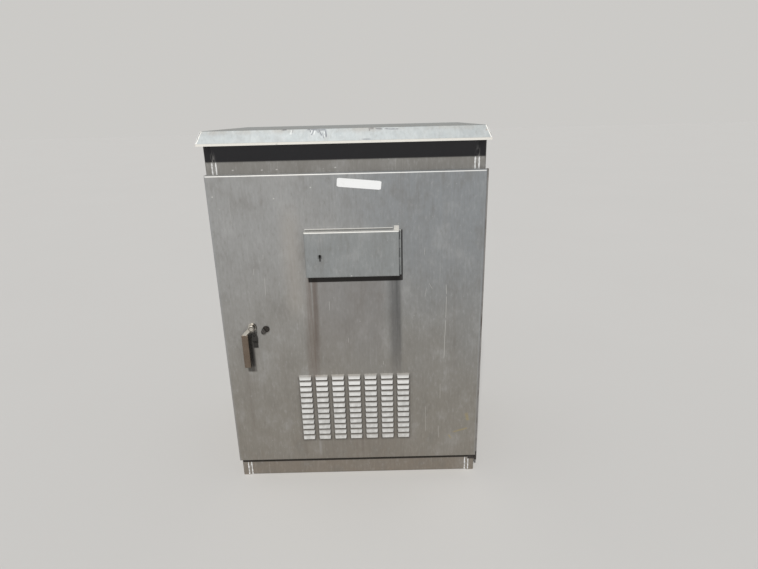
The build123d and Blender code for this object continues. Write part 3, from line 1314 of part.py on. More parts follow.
def stay_swivel():
    """Guide block that turns on the frame's pin; the rod slides through it."""
    door, frame = stay_ends()
    low = -STAY_ROD_R - STAY_GUIDE_FLOOR
    high = STAY_ROD_R + STAY_GUIDE_HEAD
    body = Pos(0, 0, (low + high) / 2) * Box(STAY_GUIDE, STAY_GUIDE, high - low)
    body = fillet(body.edges().filter_by(Axis.Z), STAY_ROUND)
    body -= round_x((-STAY_GUIDE, STAY_GUIDE), 0, 0, STAY_ROD_R + RUN)
    body -= round_z(0, 0, (STAY_ROD_R + STAY_GUIDE_FLOOR, high + 1), STAY_PIN_R + SHAFT_FIT)
    line = stay_line()
    return Plane((frame[0], frame[1], STAY_Z), x_dir=line.x_dir, z_dir=(0, 0, 1)) * body


def stay_frame_bracket():
    """Plate under the frame's head with the swivel's pin."""
    door, frame = stay_ends()
    top = FRAME_TOP - SHEET
    pad = Box(1.5 * STAY_GUIDE, 0.8 * STAY_GUIDE, STAY_PLATE)
    pad = Pos(frame[0], frame[1], top - STAY_PLATE / 2) * fillet(pad.edges().filter_by(Axis.Z), STAY_ROUND)
    rod_top = STAY_Z + STAY_ROD_R
    pin = round_z(frame[0], frame[1], (rod_top + STAY_GUIDE_FLOOR + 1, top - 1), STAY_PIN_R)
    low = rod_top + STAY_GUIDE_HEAD + RUN
    shoulder = round_z(frame[0], frame[1], (low, top - 1), STAY_PIN_R + STAY_SHOULDER)
    return pad + pin + shoulder


def stay_door_bracket():
    """Folded bracket on the door's skin with the rod's pivot pin."""
    door, frame = stay_ends()
    half = STAY_EYE_R + STAY_SHOULDER
    x = (door[0] - half, door[0] + half)
    low = STAY_Z - STAY_ROD_R - RUN - STAY_PLATE
    table = block(x, (DOOR_SKIN, door[1] + half), (low, low + STAY_PLATE))
    table = fillet(table.edges().filter_by(Axis.Z).group_by(Axis.Y)[-1], STAY_ROUND)
    foot = block(x, (DOOR_SKIN, DOOR_SKIN + STAY_PLATE), (low - STAY_FOOT, low + STAY_PLATE))
    top = STAY_Z + STAY_ROD_R + STAY_SHOULDER
    pin = round_z(door[0], door[1], (low + 1, top), STAY_PIN_R)
    head = round_z(door[0], door[1], (STAY_Z + STAY_ROD_R + RUN, top), STAY_PIN_R + STAY_SHOULDER)
    return table + foot + pin + head


def all_parts():
    """Every node's name and its shape, or list of like shapes."""
    parts = {
        "left_side_panel": side_panel(-1),
        "right_side_panel": side_panel(1),
        "back_panel": back_panel(),
        "sill_panel": sill_panel(),
        "header_panel": header_panel(),
        "roof_hood": roof_hood(),
        "door_frame": door_frame(),
        "main_door": main_door(),
        "door_gasket": door_gasket(),
        "hinge_frame_leaf": hinge_frame_leaf(),
        "hinge_door_leaf": hinge_door_leaf(),
        "hinge_pin": hinge_pin(),
        "hinge_frame_bolts": hinge_frame_bolts(),
        "door_handle": door_handle(),
        "handle_collar": handle_collar(),
        "padlock_eye": padlock_eye(),
        "latch_cam": latch_cam(),
        "latch_rod_upper": latch_rod(1),
        "latch_rod_lower": latch_rod(-1),
        "roller_upper": roller(1),
        "roller_lower": roller(-1),
        "rod_guide_upper": rod_guide(1, UPPER_GUIDE_Z),
        "rod_guide_lower": rod_guide(-1, LOWER_GUIDE_Z),
        "lock_body": lock_body(),
        "lock_plug": lock_plug(),
        "lock_bolt": lock_bolt(),
        "dust_cover": dust_cover(),
        "police_box": police_box(),
        "police_door": police_door(),
        "police_gasket": police_gasket(),
        "police_hinge_leaf": police_hinge_leaf(),
        "police_hinge_pin": police_hinge_pin(),
        "police_lock_plug": police_lock_plug(),
        "police_lock_cam": police_lock_cam(),
        "drip_strip": drip_strip(),
        "switch_panel": switch_panel(),
        "filter_trough": filter_trough(),
        "air_filter": air_filter(),
        "fan_deck": fan_deck(),
        "fan_frame": fan_frame(),
        "fan_rotor": fan_rotor(),
        "fan_guard": fan_guard(),
        "fan_control": fan_control(),
        "shelf_lower": shelf(SHELF_Z[0]),
        "shelf_upper": shelf(SHELF_Z[1]),
        "shelf_bolts": shelf_bolts(),
        "back_board": back_board(),
        "ground_bar": ground_bar(),
        "stay_rod": stay_rod(),
        "stay_swivel": stay_swivel(),
        "stay_frame_bracket": stay_frame_bracket(),
        "stay_door_bracket": stay_door_bracket(),
    }
    for name, x in zip(("left", "right"), TOGGLE_X):
        parts["toggle_body_" + name] = toggle_body(x)
        parts["toggle_lever_" + name] = toggle_lever(x)
    for side_name, side in (("left", -1), ("right", 1)):
        for row_name, y in zip(("front", "rear"), RAIL_Y):
            parts["rail_" + side_name + "_" + row_name] = rail(side, y)
    return parts


os.makedirs("parts", exist_ok=True)
for node, shape in all_parts().items():
    if isinstance(shape, list):
        shape = Compound(children=shape)
    export_step(shape, "parts/" + node + ".step")
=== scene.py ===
import json
import random
from math import cos, pi, radians, sin, sqrt

import bpy
from mathutils import Matrix, Vector


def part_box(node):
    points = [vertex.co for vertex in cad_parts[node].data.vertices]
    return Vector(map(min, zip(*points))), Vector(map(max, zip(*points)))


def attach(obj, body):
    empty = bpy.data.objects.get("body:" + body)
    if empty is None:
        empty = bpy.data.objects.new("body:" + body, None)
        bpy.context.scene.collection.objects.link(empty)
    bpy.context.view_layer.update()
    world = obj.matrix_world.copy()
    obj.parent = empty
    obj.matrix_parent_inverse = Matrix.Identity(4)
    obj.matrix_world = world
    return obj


# Looks of the roadside cabinet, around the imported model. Metres, +Z up, the door faces -Y.

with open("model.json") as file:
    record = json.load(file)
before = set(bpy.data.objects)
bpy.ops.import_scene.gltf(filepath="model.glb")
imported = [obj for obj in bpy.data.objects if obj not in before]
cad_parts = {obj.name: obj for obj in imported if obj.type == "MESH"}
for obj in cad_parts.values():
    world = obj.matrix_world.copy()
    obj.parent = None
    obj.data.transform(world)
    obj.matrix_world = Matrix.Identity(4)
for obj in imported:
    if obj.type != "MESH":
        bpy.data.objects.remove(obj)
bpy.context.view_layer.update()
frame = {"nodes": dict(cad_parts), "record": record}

# Photograph
SENSOR_WIDTH = 36.0                     # millimetres
PHOTO_LENS = 24.98
CAMERA_PLACE = (0.1045, -2.1714, 1.461)
CAMERA_PITCH = radians(18.89)
CAMERA_ROLL = radians(1.37)
CLIP_START = 0.01

# Light
SUN_ELEVATION = radians(47)
SUN_FROM_LEFT = radians(10)
SUN_STRENGTH = 2.9
SUN_SOFTNESS = radians(4.5)
SKY = (0.80, 0.82, 0.85)
SKY_STRENGTH = 0.40
BACKDROP = (0.60, 0.59, 0.57)           # what the camera and mirrors see behind the floor
FLOOR_SIZE = 60.0
FLOOR_COLOUR = (0.60, 0.585, 0.56)
FLOOR_DARKER = 0.97                     # what the floor's darker clouds keep of its colour

# Places that the model gives
DOOR_LOW, DOOR_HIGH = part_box("main_door")
HOOD_LOW, HOOD_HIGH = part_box("roof_hood")
POLICE_LOW, POLICE_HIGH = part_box("police_door")
PLUG_LOW, PLUG_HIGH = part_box("police_lock_plug")
EYE_LOW, EYE_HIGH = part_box("padlock_eye")
HANDLE_LOW, HANDLE_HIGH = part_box("door_handle")
COVER_LOW, COVER_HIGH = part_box("dust_cover")
BODY_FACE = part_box("right_side_panel")[0].y

# Sizes of the model's forms
HUB_R = 0.013
GRIP_DROP = 0.022                       # hub's middle to the upper end of the hanging grip
GRIP_WIDTH = 0.025
LOUVRE_PROUD = 0.0085
LOUVRE_PITCH = 0.063                    # from column to column, with one column at X 0
LOUVRE_HALF = 0.022                     # half the front of a hood, between its sloping ends
KNEE_DROP = 0.1045                      # hood's top to where the header starts to lean forward
HIP_RUN = 0.0165                        # how far the hood's skirt leans in over its height
ROOF_FALL = 0.0145                      # from the hood's front edge to its rear one
LIP_HEIGHT = 0.0085
DOOR_FACE = DOOR_LOW.y + LOUVRE_PROUD
HEADER_KNEE = HOOD_HIGH.z - KNEE_DROP
LIP_TOP = HOOD_LOW.z + LIP_HEIGHT
KEYHOLE = (PLUG_LOW + PLUG_HIGH) / 2
GRIP_TOP = HANDLE_HIGH.z - HUB_R - GRIP_DROP
GRIP_RIGHT = HANDLE_LOW.x + GRIP_WIDTH

# Welds
WELD_PROFILE = [(-1.0, -0.15), (-0.6, 0.7), (0.0, 1.0), (0.6, 0.7), (1.0, -0.15)]
WELD_STEP = 0.004                       # length of one row of faces
WELD_WIDTH = 0.0050
WELD_RISE = 0.00040
HIP_WELD_WIDTH = 0.0060
HIP_WELD_RISE = 0.0005
SEAM_X = 0.4515
SEAM_PAIR = 0.0069                      # each seam shows as two lines, this far either side
SEAM_FOOT = 0.004                       # above the ground
SEAM_HIDDEN = 0.006                     # how far it goes on behind the door's top
SILL_SEED = 11
HEADER_SEED = 21
HIP_SEED = 31

# Sticker
LABEL_WIDTH = 0.152
LABEL_HEIGHT = 0.030
LABEL_X = 0.0445
LABEL_Z = 1.2065
LABEL_TILT = radians(-5.6)
LABEL_THICK = 0.0003
LABEL_CORNER = 0.0025
LABEL_LIFT = 0.0006                     # off the door, at its ends
LABEL_STEPS = 24

# Small heads, radius and height of each
DOOR_PLUG_HEAD = (0.0034, 0.0016)
FAN_SCREW_HEAD = (0.0036, 0.0022)
BOARD_SCREW_HEAD = (0.006, 0.0035)
HEAD_SIDES = 20
HEAD_RINGS = [(1.0, 0.0), (1.0, 0.35), (0.86, 0.72), (0.55, 0.94)]     # shares of radius and height
DOOR_PLUG_X = -0.4043
DOOR_PLUG_Z = 0.3907
FAN_SCREW_INSET = 0.011
FAN_SCREW_DEPTH = 0.004                 # below the upper face of the fan's frame
BOARD_SCREW_INSET = 0.03

# Weathered aluminium, as linear colours
SHEET_METALLIC = 0.60
PALE = (0.46, 0.46, 0.455)
DULL = (0.17, 0.158, 0.14)
# Grime, used also as painted shade behind the grip and at the hinge's foot
GRIME_AND_SHADE = (0.040, 0.033, 0.029)
PAINTED_SHADE = (0.014, 0.012, 0.011)           # painted shadow and shade, below parts and in gaps and hollows
# Pale worn metal, used also as a painted highlight on edges and folds
HIGHLIGHT_AND_WEAR = (0.72, 0.70, 0.655)
SCRATCHED = (0.62, 0.61, 0.58)
GLINT = (0.72, 0.72, 0.72)
RUN_DIRT = (0.17, 0.15, 0.13)
SOIL = (0.235, 0.19, 0.145)
SPATTER = (0.70, 0.69, 0.66)

# Body and hood
BODY_ABOVE = (0.300, 0.300, 0.292)
BODY_BELOW = (0.240, 0.212, 0.178)
BODY_BROWNS = (1.0, 0.10)               # from the first height down to the second
HEADER_STRIP = (0.243, 0.234, 0.217)
HEADER_SHADOW_AND_GRIME = (0.033, 0.033, 0.038)
HOOD_TONES = ((0.285, 0.306, 0.310), (0.330, 0.350, 0.350))
HOOD_DRIP = (0.050, 0.050, 0.070)
HOOD_WASH = (0.56, 0.57, 0.56)
HOOD_RUST = (0.30, 0.19, 0.12)
HOOD_DUST = (0.25, 0.22, 0.18)
LIP_HIGHLIGHT_AND_WEAR = (0.84, 0.815, 0.76)

# Doors
DOOR_LEFT = (0.328, 0.328, 0.322)
DOOR_RIGHT_SHADED = (0.258, 0.272, 0.282)
DOOR_GROUND_REFLECTION = (0.250, 0.232, 0.202)
DOOR_SHADE_SPAN = (-0.30, 0.32)              # from the first X to the second
DOOR_REFLECTION_SPAN = (1.15, 0.25)              # from the first height down to the second
LEAF_TONE = (0.272, 0.284, 0.284)
WARM_HIGHLIGHT_COLUMN = (0.43, 0.385, 0.335)
FOOT_DIRT = (0.185, 0.150, 0.120)
HANDLE_DIRT = (0.165, 0.140, 0.118)
LOUVRE_GRIME_AND_SHADE = (0.120, 0.105, 0.090)
LOUVRE_GAP_SHADE = (0.070, 0.062, 0.054)     # painted shade between the louvres' columns
LOUVRE_WASHED_AND_LIT = ((0.40, 0.395, 0.38), (0.52, 0.515, 0.50))
LOUVRE_HIGHLIGHT = (0.58, 0.575, 0.56)
LOUVRE_END_SHADE = (0.110, 0.102, 0.092)
YELLOW_SCRAPE = (0.36, 0.30, 0.155)
SIDE_FOLD_SHEEN = (0.42, 0.44, 0.47)

# Other metals
INNER_TONES = ((0.50, 0.505, 0.51), (0.60, 0.60, 0.595))
INNER_GRAIN = (0.36, 0.36, 0.36)
INNER_DUST = (0.40, 0.36, 0.31)
HINGE_TONES = ((0.32, 0.31, 0.30), (0.14, 0.118, 0.10))
HINGE_LINES = (0.60, 0.60, 0.59)
GRIP_REFLECTION_TONES = ((0.225, 0.178, 0.140), (0.175, 0.134, 0.103))
HUB_HIGHLIGHT_TONES = ((0.72, 0.69, 0.63), (0.54, 0.50, 0.44))
HANDLE_GRAIN = (0.60, 0.58, 0.55)
HANDLE_RIGHT_SHADE = (0.045, 0.040, 0.034)    # painted shade on what faces right, away from the light
ZINC = (0.55, 0.555, 0.55)
ZINC_HAZE = (0.44, 0.43, 0.39)
ZINC_RUST = (0.26, 0.12, 0.055)
LOCK_TONES = ((0.022, 0.020, 0.019), (0.042, 0.036, 0.031))
LOCK_RUBBED = (0.40, 0.36, 0.31)
COVER_TONES = ((0.050, 0.046, 0.043), (0.13, 0.122, 0.115))
CHROME_TONES = ((0.80, 0.80, 0.81), (0.62, 0.61, 0.60))
COPPER_TONES = ((0.74, 0.38, 0.22), (0.34, 0.16, 0.085))
COPPER_BRIGHT = (0.80, 0.50, 0.32)
WELD_TONES = ((0.84, 0.84, 0.83), (0.58, 0.57, 0.56))
WELD_BRUSHED = (0.50, 0.49, 0.48)

# Rubber, plastics, card and vinyl
RUBBER_TONES = ((0.016, 0.016, 0.017), (0.035, 0.034, 0.034))
RUBBER_DUST = (0.13, 0.115, 0.10)
NYLON_TONES = ((0.74, 0.72, 0.65), (0.66, 0.62, 0.53))
NYLON_SPECKS = (0.45, 0.41, 0.34)
CARD_TONES = ((0.66, 0.65, 0.60), (0.52, 0.50, 0.45))
CARD_DUST = (0.34, 0.31, 0.27)
PLASTIC_TONES = ((0.020, 0.020, 0.021), (0.036, 0.036, 0.037))
PLASTIC_DUST = (0.16, 0.145, 0.125)
VINYL = (0.83, 0.83, 0.82)
VINYL_SOIL = (0.66, 0.65, 0.62)
VINYL_GRAIN = (0.70, 0.70, 0.69)

# Marks seen on the photographed cabinet: X and Z of each line's start and end, or of each speck
LONG_SCRATCH = [
    ((0.348, 0.840), (0.351, 0.794)),
    ((0.351, 0.794), (0.350, 0.700)),
    ((0.350, 0.700), (0.346, 0.534)),
]
SHORT_SCRATCHES = [
    ((0.333, 0.433), (0.333, 0.359)),
    ((0.276, 0.334), (0.277, 0.209)),
    ((0.328, 0.243), (0.331, 0.177)),
    ((0.278, 0.828), (0.271, 0.786)),
    ((0.285, 0.846), (0.300, 0.818)),
    ((0.271, 0.982), (0.268, 0.945)),
    ((-0.308, 0.881), (-0.311, 0.808)),
    ((-0.306, 0.967), (-0.307, 0.945)),
    ((-0.343, 0.916), (-0.349, 0.886)),
    ((-0.078, 0.785), (-0.081, 0.741)),
    ((-0.015, 0.636), (-0.016, 0.610)),
    ((0.114, 0.535), (0.114, 0.514)),
    ((0.027, 0.698), (0.034, 0.700)),
]
DOOR_SPECKS = [
    (-0.461, 1.173), (-0.122, 1.198), (-0.251, 1.163), (0.172, 1.054), (0.0075, 0.8845),
]
HEADER_SPECKS = [(-0.389, 1.258), (-0.289, 1.256), (-0.238, 1.257), (-0.036, 1.259)]
LONG_SCRATCH_WIDTH = 0.0017
SHORT_SCRATCH_WIDTH = 0.0016
DOOR_SPECK_HALF = 0.003
HEADER_SPECK_HALF = 0.004
SPECK_WIDTH = 0.003
SPECK_RISE = 0.001
RUST_SPOT = ((0.468, 1.376), (0.472, 1.373))

# The same, with the width of each line
SCRAPES = [
    ((0.383, 0.206), (0.449, 0.226), 0.006),
    ((0.369, 0.198), (0.382, 0.175), 0.006),
    ((0.437, 0.298), (0.448, 0.256), 0.011),
]
DARK_DRIPS = [
    ((-0.208, 1.389), (-0.184, 1.389), 0.0040),
    ((-0.166, 1.390), (-0.171, 1.377), 0.0022),
    ((-0.124, 1.388), (-0.052, 1.386), 0.0030),
    ((-0.112, 1.388), (-0.103, 1.369), 0.0036),
    ((-0.098, 1.388), (-0.105, 1.372), 0.0028),
    ((-0.088, 1.388), (-0.081, 1.376), 0.0032),
    ((-0.082, 1.388), (-0.071, 1.366), 0.0038),
    ((-0.069, 1.380), (-0.066, 1.358), 0.0020),
    ((-0.059, 1.388), (-0.057, 1.360), 0.0036),
    ((0.080, 1.386), (0.102, 1.386), 0.0050),
    ((0.085, 1.387), (0.084, 1.378), 0.0030),
    ((0.102, 1.386), (0.131, 1.385), 0.0034),
    ((0.131, 1.386), (0.185, 1.384), 0.0024),
    ((0.056, 1.3535), (0.093, 1.3535), 0.0020),
]
PALE_DRIPS = [
    ((-0.170, 1.389), (-0.176, 1.371), 0.0050),
    ((-0.103, 1.387), (-0.108, 1.373), 0.0045),
    ((-0.093, 1.386), (-0.098, 1.370), 0.0030),
    ((-0.063, 1.382), (-0.064, 1.362), 0.0028),
]

# Lower edges of the painted shadow lines below the door and the police door
DOOR_SHADE = DOOR_LOW.z - 0.030
LEAF_SHADE = POLICE_LOW.z - 0.024

# Runs below the police door: the left and right edge at its foot, the run's lower end, the softness
# of its sides, how far it drifts to the left per metre of fall, ragged or not, its share and colour
LEAF_RUNS = [
    (-0.118, 0.125, 0.46, 0.020, 0.037, False, 0.30, (0.205, 0.180, 0.165)),
    (-0.158, -0.117, 0.34, 0.014, 0.037, True, 0.56, (0.150, 0.108, 0.083)),
    (-0.133, -0.119, 0.42, 0.006, 0.037, False, 0.30, (0.085, 0.062, 0.050)),
    (0.138, 0.180, 0.38, 0.014, -0.010, False, 0.46, (0.098, 0.096, 0.096)),
    (0.152, 0.180, 0.42, 0.009, -0.010, True, 0.44, (0.066, 0.066, 0.068)),
    (0.168, 0.180, 0.46, 0.005, -0.010, False, 0.26, (0.050, 0.050, 0.052)),
]
RUN_FADE = 0.24                         # height over which a run fades at its lower end

# Stains and a painted warm highlight on the door: X and half the width, and the heights where one starts, is
# full, is last full and ends
COLUMN_X = -0.203
COLUMN_HALF = 0.060
COLUMN_SPAN = (0.68, 0.80, 1.05, 1.18)
FOOT_HALF = 0.34
FOOT_TOP = 0.215
FOOT_FULL = 0.170
HANDLE_DIRT_X = -0.408
HANDLE_DIRT_HALF = 0.020
HANDLE_DIRT_SPAN = (0.16, 0.30, 0.48, 0.52)

# Streaks below the louvres, X and colour of each
FOOT_STREAKS = [(-0.207, RUN_DIRT), (-0.148, PALE), (0.024, RUN_DIRT)]
STREAK_HALF = 0.010
STREAK_SPAN = (0.095, 0.13, 0.165, 0.205)

# Painted shade in the keyhole's hollow
KEYHOLE_HALF = 0.009                    # half the height of its upper part
KEYHOLE_WIDTH = 0.011
KEY_SLOT_DROP = 0.019                   # from its middle to the foot of the slot
KEY_SLOT_WIDTH = 0.006

# Dark ring round the hub
HUB_RING_R = 0.65 * HUB_R
HUB_RING_WIDTH = 0.0028


# Nodes of a material

class Shader:
    """A material's node tree, with short calls for the nodes that are used here."""

    def __init__(self, name, roughness, metallic=0.0):
        self.material = bpy.data.materials.new(name)
        self.material.use_nodes = True
        self.tree = self.material.node_tree
        self.surface = self.tree.nodes["Principled BSDF"]
        self.surface.inputs["Roughness"].default_value = roughness
        self.surface.inputs["Metallic"].default_value = metallic
        place = self.tree.nodes.new("ShaderNodeTexCoord")
        self.place = place.outputs["Object"]
        self.x, self.y, self.z = self.parts(self.place)
        self.faces_right = self.parts(place.outputs["Normal"])[0]

    def parts(self, vector):
        """The X, Y and Z of a vector."""
        split = self.tree.nodes.new("ShaderNodeSeparateXYZ")
        self.tree.links.new(vector, split.inputs[0])
        return split.outputs

    def feed(self, socket, value):
        """Gives a socket another node's output, a colour or a number."""
        if isinstance(value, bpy.types.NodeSocket):
            self.tree.links.new(value, socket)
        elif isinstance(value, tuple) and len(value) == 3 and socket.type == "RGBA":
            socket.default_value = (*value, 1.0)
        else:
            socket.default_value = value

    def math(self, operation, a, b=0.0):
        """What a math node makes of one or two values."""
        node = self.tree.nodes.new("ShaderNodeMath")
        node.operation = operation
        self.feed(node.inputs[0], a)
        self.feed(node.inputs[1], b)
        return node.outputs[0]

    def spread(self, scale):
        """The place, multiplied by one scale or by a scale for each axis."""
        node = self.tree.nodes.new("ShaderNodeMapping")
        node.inputs["Scale"].default_value = scale if isinstance(scale, tuple) else (scale,) * 3
        self.tree.links.new(self.place, node.inputs["Vector"])
        return node.outputs[0]

    def noise(self, scale, detail=3.0, rough=0.55, distortion=0.0):
        """Noise from 0 to 1; the scale is features per metre."""
        node = self.tree.nodes.new("ShaderNodeTexNoise")
        node.inputs["Scale"].default_value = 1.0
        node.inputs["Detail"].default_value = detail
        node.inputs["Roughness"].default_value = rough
        node.inputs["Distortion"].default_value = distortion
        self.tree.links.new(self.spread(scale), node.inputs["Vector"])
        return node.outputs[0]

    def cells(self, scale):
        """Distance to the nearest cell point, and a colour for each cell."""
        node = self.tree.nodes.new("ShaderNodeTexVoronoi")
        node.inputs["Scale"].default_value = 1.0
        self.tree.links.new(self.spread(scale), node.inputs["Vector"])
        return node.outputs[0], node.outputs[1]

    def step(self, value, low, high):
        """0 at low and 1 at high, with a smooth change between, whichever of the two is the larger."""
        node = self.tree.nodes.new("ShaderNodeMapRange")
        node.interpolation_type = "SMOOTHSTEP"
        self.feed(node.inputs["Value"], value)
        flip = low > high
        node.inputs["From Min"].default_value = high if flip else low
        node.inputs["From Max"].default_value = low if flip else high
        node.inputs["To Min"].default_value = 1.0 if flip else 0.0
        node.inputs["To Max"].default_value = 0.0 if flip else 1.0
        return node.outputs[0]

    def between(self, value, start, full, last, end):
        """0 up to start, 1 from full to last and 0 from end, with smooth changes between."""
        return self.both(self.step(value, start, full), self.step(value, end, last))

    def around(self, value, low, high, near, far):
        """1 from low to high and up to near outside them, 0 from far outside them."""
        return self.between(value, low - far, low - near, high + near, high + far)

    def band(self, value, centre, width):
        """1 at the centre, falling smoothly to 0 at the width on either side."""
        away = self.math("ABSOLUTE", self.math("SUBTRACT", value, centre))
        return self.step(away, width, 0.0)

    def distance(self, x, z):
        """How far a place is from x and z, seen from in front."""
        dx = self.math("SUBTRACT", self.x, x)
        dz = self.math("SUBTRACT", self.z, z)
        squares = self.math("ADD", self.math("MULTIPLY", dx, dx), self.math("MULTIPLY", dz, dz))
        return self.math("SQRT", squares)

    def both(self, *masks):
        """Where all the masks show."""
        result = masks[0]
        for mask in masks[1:]:
            result = self.math("MULTIPLY", result, mask)
        return result

    def either(self, *masks):
        """Where any of the masks shows."""
        result = masks[0]
        for mask in masks[1:]:
            result = self.math("MAXIMUM", result, mask)
        return result

    def mix(self, share, a, b):
        """The first colour where the share is 0, the second where it is 1."""
        node = self.tree.nodes.new("ShaderNodeMix")
        node.data_type = "RGBA"
        self.feed(node.inputs["Factor"], share)
        self.feed(node.inputs["A"], a)
        self.feed(node.inputs["B"], b)
        return node.outputs["Result"]

    def graded(self, value, low, high, first, second):
        """The first colour where the value is at low, the second where it is at high."""
        return self.mix(self.step(value, low, high), first, second)

    def over(self, base, mask, share, colour):
        """The colour over the base, as far as the mask and the share let it show."""
        return self.mix(self.math("MULTIPLY", mask, share), base, colour)

    def rough(self, value, low, high):
        """Roughness from low to high, as the value goes from 0 to 1."""
        node = self.tree.nodes.new("ShaderNodeMapRange")
        self.feed(node.inputs["Value"], value)
        node.inputs["To Min"].default_value = low
        node.inputs["To Max"].default_value = high
        self.feed(self.surface.inputs["Roughness"], node.outputs[0])

    def bump(self, height, depth, strength):
        """Relief of that depth in metres; several calls add up."""
        node = self.tree.nodes.new("ShaderNodeBump")
        node.inputs["Strength"].default_value = strength
        node.inputs["Distance"].default_value = depth
        self.feed(node.inputs["Height"], height)
        socket = self.surface.inputs["Normal"]
        if socket.is_linked:
            self.tree.links.new(socket.links[0].from_socket, node.inputs["Normal"])
        self.tree.links.new(node.outputs[0], socket)

    def finish(self, base, rough=None, relief=None):
        """The material, with its colour and what rough and bump are to be called with."""
        self.feed(self.surface.inputs["Base Color"], base)
        if rough:
            self.rough(*rough)
        if relief:
            self.bump(*relief)
        return self.material


class Sheet(Shader):
    """Mill aluminium after years outdoors."""

    def __init__(self, name):
        super().__init__(name, 0.55, SHEET_METALLIC)
        self.blotch = self.noise((4.0, 4.0, 2.6), detail=4.0)
        self.mottle = self.noise((13.0, 13.0, 9.0), detail=5.0, rough=0.6)
        self.grain = self.noise((900.0, 900.0, 14.0), detail=2.0)

    def wander(self, value, amount):
        """The value, shifted up to half the amount either way by the sheet's broad blotches."""
        shift = self.math("MULTIPLY", self.math("SUBTRACT", self.blotch, 0.5), amount)
        return self.math("ADD", value, shift)

    def patches(self, base, noise, share):
        """Paler patches where the noise is high and duller ones where it is low."""
        base = self.over(base, self.step(noise, 0.50, 0.78), share, PALE)
        return self.over(base, self.step(noise, 0.50, 0.24), share, DULL)

    def weather(self, base):
        """The tone under mottling, faint runs and rolling grain."""
        base = self.patches(base, self.mottle, 0.34)
        base = self.patches(base, self.noise((110.0, 110.0, 42.0), detail=4.0, rough=0.6), 0.26)
        broad_runs = self.noise((38.0, 38.0, 1.3), detail=4.0, rough=0.6)
        base = self.over(base, self.step(broad_runs, 0.50, 0.80), 0.16, RUN_DIRT)
        thin_runs = self.noise((150.0, 150.0, 3.5))
        base = self.over(base, self.step(thin_runs, 0.48, 0.72), 0.07, RUN_DIRT)
        return self.over(base, self.step(self.grain, 0.35, 0.75), 0.05, GLINT)

    def splash(self, base, low, high, share):
        """Soil thrown up by rain, thinning from low to high."""
        patch = self.noise((26.0, 26.0, 18.0), detail=5.0, rough=0.65)
        mask = self.both(self.step(self.z, high, low), self.step(patch, 0.32, 0.68))
        return self.over(base, mask, share, SOIL)

    def scratch(self, base, share):
        """Thin pale scratches, nearly upright."""
        thin = self.noise((480.0, 480.0, 2.6), detail=1.5, rough=0.4)
        where = self.noise((7.0, 7.0, 3.0), detail=1.0)
        mask = self.both(self.step(thin, 0.71, 0.77), self.step(where, 0.52, 0.64))
        return self.over(base, mask, share, SCRATCHED)

    def speckle(self, base, share):
        """Small pale specks of spatter."""
        near = self.cells(52.0)[0]
        where = self.noise(9.0, detail=1.0)
        mask = self.both(self.step(near, 0.085, 0.045), self.step(where, 0.58, 0.66))
        return self.over(base, mask, share, SPATTER)

    def finish_sheet(self, base, low=0.50, high=0.66):
        """The material, with roughness by its mottling, its grain and a slight wave in relief."""
        self.finish(base, (self.mottle, low, high), (self.grain, 0.00003, 0.35))
        self.bump(self.noise(5.0, detail=1.0), 0.004, 0.08)
        return self.material


# Masks round marks in the plane of the door

def segment(s, start, end, width, sway=0.003):
    """A mask round a nearly straight line, from start to end in X and Z."""
    dx = end[0] - start[0]
    dz = end[1] - start[1]
    length = sqrt(dx * dx + dz * dz)
    px = s.math("SUBTRACT", s.x, start[0])
    pz = s.math("SUBTRACT", s.z, start[1])
    along = s.math("ADD", s.math("MULTIPLY", px, dx / length), s.math("MULTIPLY", pz, dz / length))
    off = s.math("ADD", s.math("MULTIPLY", px, -dz / length), s.math("MULTIPLY", pz, dx / length))
    waver = s.math("MULTIPLY", s.math("SUBTRACT", s.noise(16.0, detail=2.0), 0.5), sway)
    near = s.band(s.math("ADD", off, waver), 0.0, width)
    fade = min(0.01, length / 4)
    return s.both(near, s.between(along, 0.0, fade, length - fade, length))


def lines(s, ends, width):
    """Lines of one width."""
    return s.either(*[segment(s, start, end, width) for start, end in ends])


def specks(s, places, half):
    """Short level marks, that far to each side of their places."""
    return s.either(*[
        segment(s, (x - half, z), (x + half, z + SPECK_RISE), SPECK_WIDTH) for x, z in places
    ])


def drips(s, rows):
    """Short runs on the hood's front, ragged at their sides."""
    masks = []
    for start, end, width in rows:
        ragged = s.step(s.noise((260.0, 20.0, 120.0)), 0.30, 0.46)
        masks.append(s.both(segment(s, start, end, width, 0.008), ragged))
    return s.either(*masks)


# Body and hood

def body_tone(s, face):
    """Neutral above, browner towards the ground; the header's plain strip is a little warm."""
    tone = s.graded(s.wander(s.z, 0.3), *BODY_BROWNS, BODY_ABOVE, BODY_BELOW)
    header = s.both(s.step(s.z, DOOR_HIGH.z - 0.03, DOOR_HIGH.z), face)
    return s.over(tone, header, 1.0, HEADER_STRIP)


def seam_marks(s, base, face, leaning):
    """Pale smears where the seams run onto the leaning header, and ground-back sheet round them below."""
    ragged = s.noise((300.0, 40.0, 60.0))
    seam = s.band(s.math("ABSOLUTE", s.x), SEAM_X, 0.013)
    rising = s.step(s.z, HEADER_KNEE + 0.045, HEADER_KNEE)
    base = s.over(base, s.both(seam, leaning, rising, s.step(ragged, 0.44, 0.60)), 0.45, SPATTER)
    below = s.step(s.z, HEADER_KNEE + 0.004, HEADER_KNEE - 0.004)
    return s.over(base, s.both(seam, face, below, s.step(ragged, 0.40, 0.60)), 0.35, PALE)


